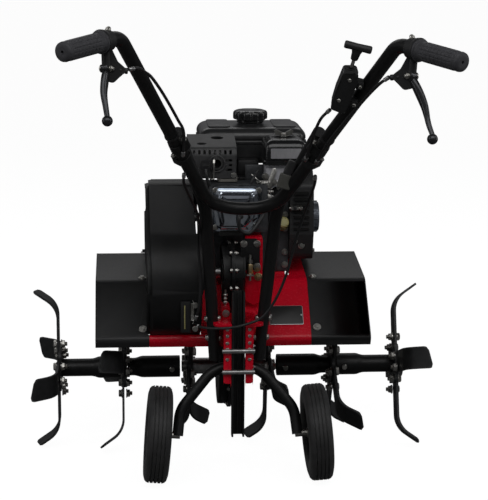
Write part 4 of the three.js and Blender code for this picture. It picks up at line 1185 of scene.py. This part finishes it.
def build_fenders():
    """Black end mudguards and the red middle one, with backing strips under the seams."""
    rim = fillet_open(FENDER, 9)
    guard_gap = (GUARD_LEFT + 1, GUARD_RIGHT - 1, -200, 84, 298, 430)
    for name, side in SIDES:
        inner, outer = (SEAM_LEFT - 0.2, -FENDER_HALF) if side < 0 else (SEAM_RIGHT + 0.2, FENDER_HALF)
        form = Form()
        form.add(fender_sheet(min(inner, outer), max(inner, outer)))
        rim_low = under(rim, 20)
        rim_low[0] = (rim_low[0][0] - 8, rim_low[0][1])
        edge = (outer, outer + FENDER_T) if side < 0 else (outer - FENDER_T, outer)
        form.add(slab_x([*rim[:-2], *reversed(rim_low[:-2])], *edge), bevel=0.6)
        inboard = inner + side * 13
        for y, z, direction in ((-72, 396.5, (0, -0.1, 1)), (-170, 309, (0, -0.7, 0.7))):
            form.bolt((inboard, y, z), direction, 10, 5, 8.5, look=1)
        form.bolt((inboard - side * 8, 93, 418), (0, 0.2, 1), 11, 7, 9, look=2)
        cuts = Form().add(block(*guard_gap)) if side < 0 else None
        piece(f"mudguard_{name}", form, ["black_coat", "zinc", "matt_plastic"], "chassis",
              [f"fender_{name}"], cuts=cuts)
    form = Form()
    form.add(fender_sheet(SEAM_LEFT + 0.3, SEAM_RIGHT - 0.3))
    for seam in (SEAM_LEFT, SEAM_RIGHT):
        joint = [*under(rim, FENDER_T - 0.1), *reversed(under(rim, FENDER_T + 1.2))]
        form.add(slab_x(joint, seam - 7, seam + 7))
    cuts = Form()
    for gap in (guard_gap, (-62, 128, -57, 134, 385, 430), (23, 65, -100, -50, 385, 430),
                (REAR_X - 21, REAR_X + 21, -200, -129, 260, 350)):
        cuts.add(block(*gap))
    cuts.add(slab_x(band(AXLE, 95, INPUT, 73, 30), -22, 22))
    piece("mudguard_centre", form, "red_gloss", "chassis", ["fender_centre"], cuts=cuts)
    build_nameplate()


def build_nameplate():
    """Blank plate riveted to the sloping rear of the red mudguard."""
    seat = move(113, -150.5, 330.3) @ rotate("X", 45)
    form = Form()
    form.add(slab(rounded(-36.2, 36.2, -23.2, 23.2, 3.5), 0, 1.1), seat, bevel=0.3, look=1)
    form.add(slab(rounded(-35.2, 35.2, -22.2, 22.2, 3), 0.9, 1.5), seat, bevel=0.2)
    for u in (-32.5, 32.5):
        form.add(lathe([(0, 2.7), (1.6, 2.4), (2.4, 1.4), (2.4, 1.0), (0, 1.0)], 12),
                 seat @ move(u, 0, 0), look=1)
    piece("nameplate_blank", form, ["plate_black", "silver_label"], "chassis")


# ------------------------------------------------------------------ engine mounting


def build_engine_base():
    """Red cradle under the engine, its upright with the adjuster, and the cable stop."""
    form = Form()
    form.add(slab(rounded(-50, 120, -55, 130, 10), 392.2, 403.4), bevel=1.5)
    form.add(block(26, 62, -140, -40, 392.4, 398), bevel=1)
    wall = fillet([(26, 364), (44, 352), (62, 364), (62, 497), (26, 497)], [6, 10, 6, 4, 4])
    form.add(slab_y(wall, -146, -138), bevel=1.2)
    form.add(block(26, 62, -146, -70, 492, 498), bevel=1.2)
    form.add(slab_x([(-138, 400), (-92, 400), (-138, 470)], 42, 46), bevel=0.8)
    plate = fillet([(16, 430), (56, 430), (56, 488), (48, 497), (24, 497), (16, 488)], 5)
    form.add(slab_y(plate, -149.4, -146.2), bevel=1, look=1)
    for x, z in ((22, 486), (50, 486), (50, 437)):
        form.bolt((x, -149.4, z), (0, -1, 0), 9, 5, 7.5, look=2)
    form.add(tube([(35, -156, 408), (35, -156, 464)], 2.6, 12), look=2)
    form.add(lathe([(0, 20), (5.2, 20), (6.4, 18), (6.4, 2), (5.2, 0), (0, 0)], 6),
             move(35, -156, 424), look=3)
    form.add(plug(5, 6, 6), move(35, -156, 447), look=2)
    form.add(block(27, 43, -164, -146, 419, 422.5), bevel=0.8, look=2)
    for x, z in ((50, 433), (53, 414)):
        form.bolt((x, -146, z), (0, -1, 0), 10, 6, 8.5, stud=4, look=3)
    piece("engine_cradle", form, ["red_gloss", "black_coat", "zinc", "brass"], "chassis", ["engine_base"])

    form = Form()
    form.add(slab_y(rounded(-28, -10, 338, 364, 4), -206, -200), bevel=1.2)
    form.add(block(-28, -10, -200, -152, 352, 362), bevel=1)
    for z, r in ((372, 4.4), (380, 3.6), (388, 4.4)):
        form.add(lathe([(0, 5), (r, 5), (r + 0.8, 4), (r + 0.8, 1), (r, 0), (0, 0)], 6),
                 move(-19, -184, z - 6), look=1)
    form.add(tube([(-19, -184, 356), (-19, -184, 396)], 2.4, 10), look=1)
    form.bolt((-19, -206, 350), (0, -1, 0), 10, 5, 8, look=1)
    piece("cable_stop", form, ["red_gloss", "zinc"], "chassis")


# ------------------------------------------------------------------ engine


def build_crankcase():
    """Ribbed alloy block with its cover screws and the oil filler."""
    profile = fillet([(-55, 404), (112, 404), (112, 560), (92, 584), (-30, 584), (-55, 560)],
                     [4, 4, 10, 14, 14, 8])
    form = Form()
    form.add(slab_x(profile, -54, 125.4), bevel=3, steps=3)
    for x in (-40, -10, 70, 100):
        form.add(block(x - 2.5, x + 2.5, -57.5, -54, 412, 556), bevel=1)
    form.add(slab_x(rounded(-50, 110, 470, 478, 3), -56, 125.4), bevel=1)
    for z in (420, 448, 500, 530):
        form.bolt((118, -55.5, z), (0, -1, 0), 9, 5, 7, look=1)
    form.add(block(-36, 62, -58, -40, 508, 605.5), bevel=2)
    form.add(lathe([(0, 0), (11, 0), (13, 3), (13, 12), (9, 14), (9, 22), (12, 24), (12, 30), (9, 33),
                    (0, 33)], 24), aim((112, -52, 506), (0, -1, 0.45)), look=2)
    cuts = Form()
    cuts.add(slab_x(band(AXLE, 92.6, INPUT, 70.6, 30), -22.3, 22.3))
    piece("engine_block", form, ["dark_alloy", "zinc", "olive_plastic"], "chassis", ["crankcase"],
          cuts=cuts)


def build_cylinder_head():
    """Cylinder head with its cooling fins."""
    form = Form()
    form.add(block(-34, 60, -130, -58.4, 512, 600), bevel=2)
    for i in range(6):
        y = -124 + 11 * i
        form.add(slab_y(rounded(-50, 74, 506, 608, 10), y, y + 4.6), bevel=0.9)
        if i < 5:
            form.add(slab_y(rounded(-44, 68, 509, 605, 8), y + 6.2, y + 8.6), bevel=0.6)
    piece("head_fins", form, "dark_alloy", "chassis", ["cylinder_head"])


def tray(rings, n=8):
    """Solid through rounded quadrilaterals, given as [y, corners, radius]."""
    return skin([[(x, y, z) for x, z in fillet(corners, radius, n)] for y, corners, radius in rings])


def build_rocker_cover():
    """Bright pressed cover: flat rim, a step, and a domed middle with a flatter panel on it."""

    def corners(inset):
        """Outline of the cover, drawn in by this much."""
        return [(-36 + inset, 515 + inset * 0.9), (36 - inset, 514 + inset * 0.9),
                (53 - inset, 538 + inset * 0.4), (52 - inset, 602 - inset), (-38 + inset, 603 - inset),
                (-44 + inset, 560)]

    form = Form()
    rim = fillet([(-45, 512), (38, 508), (61, 534), (60, 607), (-44, 607)], [14, 14, 14, 12, 12], 8)
    form.add(slab_y(rim, -138, -130.6), bevel=1.6, steps=3)
    form.add(tray([(y, corners(inset), radius) for y, inset, radius in (
        (-136, 0, 13), (-141, 0.4, 13), (-144.5, 2, 12), (-146.2, 5, 11), (-146.8, 8, 10), (-148, 9.4, 9),
        (-152.5, 10.6, 9), (-154.8, 12.6, 8), (-155.8, 16, 7), (-156.6, 22, 5), (-157.2, 31, 3))]))
    for x, z in ((-37, 598), (53, 598), (-37, 520), (46, 524)):
        form.bolt((x, -138, z), (0, -1, 0), 8, 5, 6.5, look=1)
    form.add(plug(6.5, 9, 20, 1), aim((14, -150, 545), (0, -1, 0.2)), look=2)
    hose = spline([(14, -160, 550), (10, -172, 545), (12, -170, 522), (32, -168, 513), (56, -150, 538),
                   (70, -128, 560), (80, -112, 572)], 8)
    form.add(tube(hose, 3.9, 16), look=2)
    form.add(tray([(-126, [(-34, 500), (24, 500), (20, 512), (-30, 512)], 5),
                   (-141, [(-32, 502), (22, 502), (18, 512), (-28, 512)], 5)], 5), look=3)
    piece("valve_cover", form, ["polished", "zinc", "cable_rubber", "shadow_black"], "chassis",
          ["rocker_cover"], smooth=28)


def build_fan_shroud():
    """Blower housing round the fan, with louvres and the stop switch on its rear face."""
    outline = fillet([(-66, 432), (124, 432), (138, 520), (122, 600), (100, 626), (-46, 626),
                      (-74, 596), (-80, 490)], [22, 18, 20, 14, 16, 18, 14, 16])
    form = Form()
    form.add(slab_x(outline, 126, 177.6, [circle(61, 48, *CRANK)]), bevel=6, steps=4, least=50)
    form.add(slab_x(outline, 126, 130), bevel=0.8, least=50)
    for i in range(7):
        z = 500 + 13 * i
        form.add(slab_y(rounded(134, 168, z, z + 6, 2.6), -82.5, -76), bevel=0.8, look=1)
    for x, z in ((139, 475), (152, 466)):
        form.bolt((x, -73, z), (0, -1, 0), 9, 5, 7.5, look=2)
    form.add(tube([(124, -86, 550), (152, -86, 550)], 2.6, 12), look=2)
    for x in (127, 139, 146):
        form.add(plug(5.6, 5, 6), aim((x, -86, 550), (1, 0, 0)), look=2)
    form.add(block(132, 142, -90, -78, 545, 555), bevel=1.4)
    for y, z in ((-58, 452), (-58, 606), (112, 452), (108, 600)):
        form.bolt((177.4, y, z), (1, 0, 0), 8, 5, 6, look=2)
    piece("blower_housing", form, ["matt_plastic", "shadow_black", "zinc"], "chassis", ["fan_shroud"])


def build_recoil():
    """Starter cover: flat rim with ring slots, and a shallow bright cup in the middle."""
    turn = move(0, *CRANK) @ rotate("Y", 90)
    form = Form()
    form.add(lathe([(0, 178.6), (87, 178.6), (88, 179.6), (86.5, 181), (52, 182), (50, 181), (46, 181),
                    (43, 183), (38, 184.5), (34.5, 187), (33, 196), (31, 199.4), (26, 200), (0, 200)],
                   64), turn)
    for ring, count in ((58, 14), (66, 16), (74, 18)):
        for k in range(count):
            a, b = (k + 0.14) * TURN / count, (k + 0.86) * TURN / count
            along = [a + (b - a) * j / 6 for j in range(7)]
            arc = [(ring * cos(t), ring * sin(t), 181.1) for t in along]
            form.add(tube(arc, 1.5, 8), turn, look=1)
    for k in range(3):
        a = radians(90 + 120 * k)
        form.add(lathe([(0, 186), (4, 186), (5, 185), (5, 180), (0, 180)], 6),
                 turn @ move(82 * cos(a), 82 * sin(a), -1.6), look=2)
    for k in range(12):
        form.add(block(33.2, 35.4, -1.2, 1.2, 187, 197), turn @ rotate("Z", 30 * k), bevel=0.4)
    piece("starter_cover", form, ["starter_grey", "shadow_black", "zinc"], "chassis", ["recoil_cover"])

    x, y, z = 152, 142, 590
    form = Form()
    form.add(lathe([(0, 24), (5, 24), (7.6, 22.6), (9, 19), (8.6, 8), (8.2, 0), (8.6, -8), (9, -19),
                    (7.6, -22.6), (5, -24), (0, -24)], 28), aim((x, y, z), (1, 0, 0)))
    form.add(lathe([(0, 14), (4.2, 14), (6.8, 2), (0, 2)], 20), aim((x, y - 2, z), (0, -1, 0)))
    form.add(tube([(x, y - 8, z), (x, y - 77, z)], 2.9, 12), look=1)
    piece("starter_grip", form, ["matt_plastic", "cable_rubber"], "pull_grip", ["recoil_handle"])


look("starter_grey", "guard_grey", (0.15, 0.165, 0.19), 0.3, metal=0.6, grain=0.15, mottle=0.1)

TANK = (-66, 171, 6, 176, 710)  # X, X, Y, Y and the top
CAP_AT = (52, 90)


def build_tank():
    """Pressed tank: deep lower half, rolled seam, groove, and a crowned top shell with two flat pads."""
    x0, x1, y0, y1, z1 = TANK

    def ring(inset):
        """Plan of the tank, drawn in by this much."""
        return rounded(x0 + inset, x1 - inset, y0 + inset, y1 - inset, max(26 - inset * 0.6, 4), 8)

    crown, shoulder = 24, 688
    levels = [(24, 630), (12, 631), (6, 634), (3, 640), (2, 648), (2, 671), (3.2, 672), (3.4, 674),
              (0.4, 675), (0, 676.5), (0, 680), (0.6, 681.4), (3.4, 682), (3.4, 684), (1.4, 685.2),
              (1.2, shoulder)]
    for k in range(1, 11):
        a = k / 10 * pi / 2
        levels.append((1.2 + crown * (1 - cos(a)), shoulder + (z1 - 1.2 - shoulder) * sin(a)))
    levels += [(42, z1 - 0.6), (60, z1 - 0.2)]
    form = Form()
    form.add(rings_of(ring, levels))
    for a, b in ((-44, 4), (100, 148)):
        form.add(slab(rounded(a, b, 28, 150, 9), z1 - 3, z1 + 1.6), bevel=1.5, steps=3)
    form.add(lathe([(0, 9), (24, 9), (26, 8.4), (27, 7), (27, 3), (29, 0.6), (33, -1), (0, -1)], 44),
             move(*CAP_AT, z1))
    for x in (-30, 135):
        form.add(block(x - 12, x + 12, 14, 30, 606, 632), bevel=2, look=1)
        form.bolt((x, 22, 606.2), (0, 0, -1), 10, 5, 8, look=2)
    piece("tank_shell", form, ["tank_black", "matt_plastic", "zinc"], "chassis", ["fuel_tank"], smooth=24)

    lobes, per_lobe = 10, 12
    n = lobes * per_lobe

    def lobed(radius, depth, z):
        """Ring with finger grips of this depth."""
        ring = []
        for i in range(n):
            a = i * TURN / n
            r = radius - depth * (1 - abs(cos(lobes * a / 2)) ** 0.7)
            ring.append((r * cos(a), r * sin(a), z))
        return ring

    levels = [(27.8, 0, 3), (30, 0, 3.4), (30, 0, 8.5), (31, 0, 9.2), (36, 3, 9.6), (37.8, 4.4, 11),
              (38.2, 5, 14), (38.2, 5, 22), (37.6, 4.6, 25.5), (35, 3, 28.4), (30, 0.6, 29.8), (24, 0, 30),
              (22, 0, 29.2), (12, 0, 28.8)]
    form = Form()
    form.add(skin([*(lobed(*level) for level in levels), [(0, 0, 28.8)]]), move(*CAP_AT, z1))
    piece("tank_cap", form, "gloss_plastic", "cap", ["fuel_cap"])


# ------------------------------------------------------------------ exhaust, carburettor, air filter

OUTLET = (-33, 649)  # X, Z of the exhaust


def build_muffler():
    """Silencer can, its slotted heat guard, and the plug lead beside it."""
    form = Form()
    small, full = ([(-80 + i, 626 + i), (-4 - i, 626 + i), (-4 - i, 668 - i), (-80 + i, 668 - i)]
                   for i in (2, 0))
    form.add(tray([(-14, small, 17), (-16, full, 19), (-50, full, 19), (-82, full, 19), (-84, small, 17)]))
    form.add(pipe(10, 10.8, 26), aim((OUTLET[0], -80, OUTLET[1]), (0, -1, 0)))
    form.add(plug(10, 4, 28), aim((OUTLET[0], -84, OUTLET[1]), (0, -1, 0)), look=1)
    form.add(slab(rounded(-30, 12, -96, -40, 6), 609, 616), bevel=1.2, look=2)
    for x in (-25, 7):
        form.bolt((x, -88, 616), (0, 0, 1), 9, 6, 7.5, stud=3, look=3)
    piece("muffler_can", form, ["bare_steel", "shadow_black", "phenolic", "zinc"], "chassis", ["muffler"])

    form = Form()
    sheet = fillet_open([(-98, 617), (-98, 668), (-90, 682), (-3, 700), (-3, 617)], 5)
    form.add(slab_x([*sheet, *reversed(under(sheet, -2))], -92.5, 7.5))
    side = fillet([(-97.5, 617), (-97.5, 668), (-89.5, 681.5), (-3.5, 699.5), (-3.5, 617)], 5)
    for x in (-94, 7):
        form.add(slab_x(side, x, x + 2), bevel=0.9)
    rim = [(x, -99.5, z) for x, z in circle(17, 40, *OUTLET)]
    form.add(tube([*rim, rim[0]], 2.2, 8))
    for x in (-88, 3):
        form.bolt((x, -98, 624), (0, -1, 0), 7, 4, 6, look=1)
    cuts = Form()
    for i in range(8):
        x = -83 + 11 * i
        cuts.add(slab_y(rounded(x, x + 5.2, 668, 677, 2.2), -112, -80))
    for i in range(3):
        z = 633 + 10 * i
        cuts.add(slab_y(rounded(-14, 0, z, z + 5, 2.4), -112, -90))
    cuts.add(slab_y(circle(15.5, 32, *OUTLET), -112, -90))
    for x, y, r in ((-63, -66, 9), (-28, -30, 12)):
        cuts.add(slab([(x + 1.15 * u, y + 0.8 * v) for u, v in circle(r, 24)], 676, 710))
    piece("heat_guard", form, ["guard_grey", "zinc"], "chassis", ["muffler_guard"], cuts=cuts)

    form = Form()
    strap = fillet([(-112, 618), (-96, 618), (-96, 660), (-108, 660), (-112, 652)], 3)
    form.add(slab_x(strap, -41, -38), bevel=0.6, look=1)
    form.add(block(-48, -38, -112, -98, 616, 619), bevel=0.8, look=1)
    form.add(rings_of(lambda w: [(x * w, y * w) for x, y in rounded(-9, 9, -8, 8, 3)], (
        (0.86, 0), (1, 2), (1, 9), (0.9, 12), (0.96, 14), (0.96, 22), (0.8, 26))),
             aim((-57, -100, 650), (0, -0.95, -0.3)))
    lead = spline([(-57, -118, 646), (-56, -126, 630), (-50, -120, 606), (-40, -96, 590)], 7)
    form.add(tube(lead, 3.4, 14))
    piece("plug_lead", form, ["matt_plastic", "zinc"], "chassis")


def build_carburettor():
    """Carburettor with its float bowl, levers, nuts, springs and links, simplified."""
    form = Form()
    form.add(block(80, 106, -106, -62, 567, 613), bevel=3, steps=3)
    form.add(lathe([(0, 28), (16, 28), (17, 26), (17, 10), (15, 4), (9, 0.5), (5, 0), (0, 0)], 36),
             move(93, -84, 542))
    form.add(plug(4.5, 6, 6), move(93, -84, 537), look=1)
    form.add(pipe(12, 14, 16), aim((93, -100, 590), (0, -1, 0)))
    form.add(plug(12, 3, 28), aim((93, -104, 590), (0, -1, 0)), look=4)
    lever = fillet([(-4, -5), (32, -4), (38, 2), (34, 6), (4, 6), (-5, 3)], 3)
    for at, spin, look_index in (((62, -104, 603), 0.15, 1), ((52, -112, 588), -0.35, 1),
                                 ((66, -96, 620), 0.5, 2), ((78, -116, 606), 1.2, 1)):
        seat = move(*at) @ rotate("X", 80) @ Matrix.Rotation(spin, 4, "Z")
        form.add(slab(lever, 0, 2), seat, bevel=0.5, look=look_index)
    for at in ((58, -114, 600), (88, -112, 610), (100, -108, 600), (70, -106, 622), (48, -112, 596),
               (86, -100, 572)):
        form.bolt(at, (0, -1, 0), 9, 5, 7, stud=3, look=1)
    for (x, y, z), turns in (((50, -116, 612), 9), ((64, -118, 592), 7)):
        coil = [(x + 1.1 * k / 2, y + 3 * cos(k * 1.05), z + 3 * sin(k * 1.05)) for k in range(turns * 6)]
        form.add(tube(coil, 0.7, 6), look=1)
    link = spline([(40, -112, 628), (52, -120, 618), (66, -118, 604), (84, -118, 598)], 6)
    form.add(tube(link, 1.2, 8), look=1)
    fuel_hose = spline([(40, -108, 582), (36, -120, 600), (44, -118, 622), (56, -100, 632)], 6)
    form.add(tube(fuel_hose, 3, 12), look=3)
    form.add(block(30, 70, -60, -52, 606, 640), bevel=2, look=2)
    form.add(rings_of(lambda i: rounded(70 + i, 124.6 - i, -106 + i, -20 - i, 12), (
        (6, 611.4), (2, 613), (0, 617), (0, 640), (1.5, 641), (1.5, 645.6))), look=5)
    piece("carburettor_body", form, ["cast_alloy", "zinc", "dark_alloy", "cable_rubber", "shadow_black",
                                     "grey_plastic"], "chassis", ["carburettor"])


def build_air_filter():
    """Domed lid with a dished middle, its wing nut and a blank label."""

    def ring(inset):
        """Plan of the lid, drawn in by this much."""
        corner = max(16 - inset * 0.4, 4)
        return rounded(66 + inset, 158 - inset, -118 + inset, -8 - inset, corner, 8)

    form = Form()
    form.add(rings_of(ring, (
        (2.4, 646.6), (0.2, 647.4), (0, 650), (0, 655), (1.4, 656.4), (1.4, 658), (0.6, 659), (1, 676),
        (1.6, 684), (3.4, 690), (7, 695), (12, 698.6), (17, 700), (24, 700))))
    bowl = [(x * 28, y * 17) for x, y in circle(1, 40)]
    cuts = Form().add(slab([(112 + u, -62 + v) for u, v in bowl], 696.5, 720))
    form.add(plug(8, 5, 24, 1), move(112, -62, 696))
    piece("filter_lid", form, "gloss_plastic", "chassis", ["air_filter_cover"], cuts=cuts)

    form = Form()
    form.add(lathe([(0, 9), (5, 9), (6.4, 7), (6.4, 1), (0, 1)], 20), move(112, -62, 700))
    for side in (-1, 1):
        wing = [(112 + side * u, z) for u, z in ((3, 701), (18, 706), (21, 714), (15, 716), (3, 710))]
        form.add(slab_y(fillet(wing, 3), -64, -60), bevel=1.2, steps=3)
    form.add(slab_y(rounded(80, 144, 662, 683, 2.5), -118.9, -116.6), bevel=0.3, look=1)
    piece("filter_nut_and_label", form, ["zinc", "silver_label"], "chassis")


def build_small_controls():
    """Kill-switch block on the bar, and the blower-side shield under the tank."""
    form = Form(BAR_POSE)
    lean = move(86, -402, 690) @ rotate("Y", 24)
    form.add(rings_of(lambda i: rounded(-8 + i, 8 - i, -7 + i, 12 - i, 3), (
        (1.5, -16), (0, -14), (0, 12), (1.6, 14))), lean)
    lean = move(77, -404, 664) @ rotate("Y", 14)
    form.add(rings_of(lambda i: rounded(-13 + i, 12 - i, -6 + i, 10 - i, 3), (
        (1.5, -15), (0, -13), (0, 12), (1.6, 14))), lean, look=1)
    form.add(block(84, 98, -404, -386, 664, 676), bevel=2)
    piece("kill_switch", form, ["matt_plastic", "switch_grey"], "handlebar")

    form = Form()
    form.add(block(-30, 124, -18, -14, 604, 634), bevel=1)
    form.add(block(12, 70, -52, -14, 606, 612), bevel=1)
    form.add(block(16, 62, -30, 4, 606, 646), bevel=4)
    piece("governor_shield", form, "matt_plastic", "chassis")


look("switch_grey", "black_plastic", (0.085, 0.085, 0.075), 0.5, grain=0.3, mottle=0.1)

build_fenders()
build_engine_base()
build_crankcase()
build_cylinder_head()
build_rocker_cover()
build_fan_shroud()
build_recoil()
build_tank()
build_muffler()
build_carburettor()
build_air_filter()
build_small_controls()

# ------------------------------------------------------------------ CAD nodes that stay as they are

KEPT_NODES = {
    "drive_chain": "bare_steel",
    "lower_sprocket": "bare_steel",
    "input_shaft": "bare_steel",
    "crankshaft": "bare_steel",
    "driven_pulley": "cast_alloy",
    "drive_pulley": "cast_alloy",
    "drive_belt": "belt_rubber",
    "idler_arm": "zinc",
}
for node, finish in KEPT_NODES.items():
    shown = bpy.data.objects[node]
    if shown.data.materials:
        shown.material_slots[0].material = LOOKS[finish]
    else:
        shown.data.materials.append(LOOKS[finish])
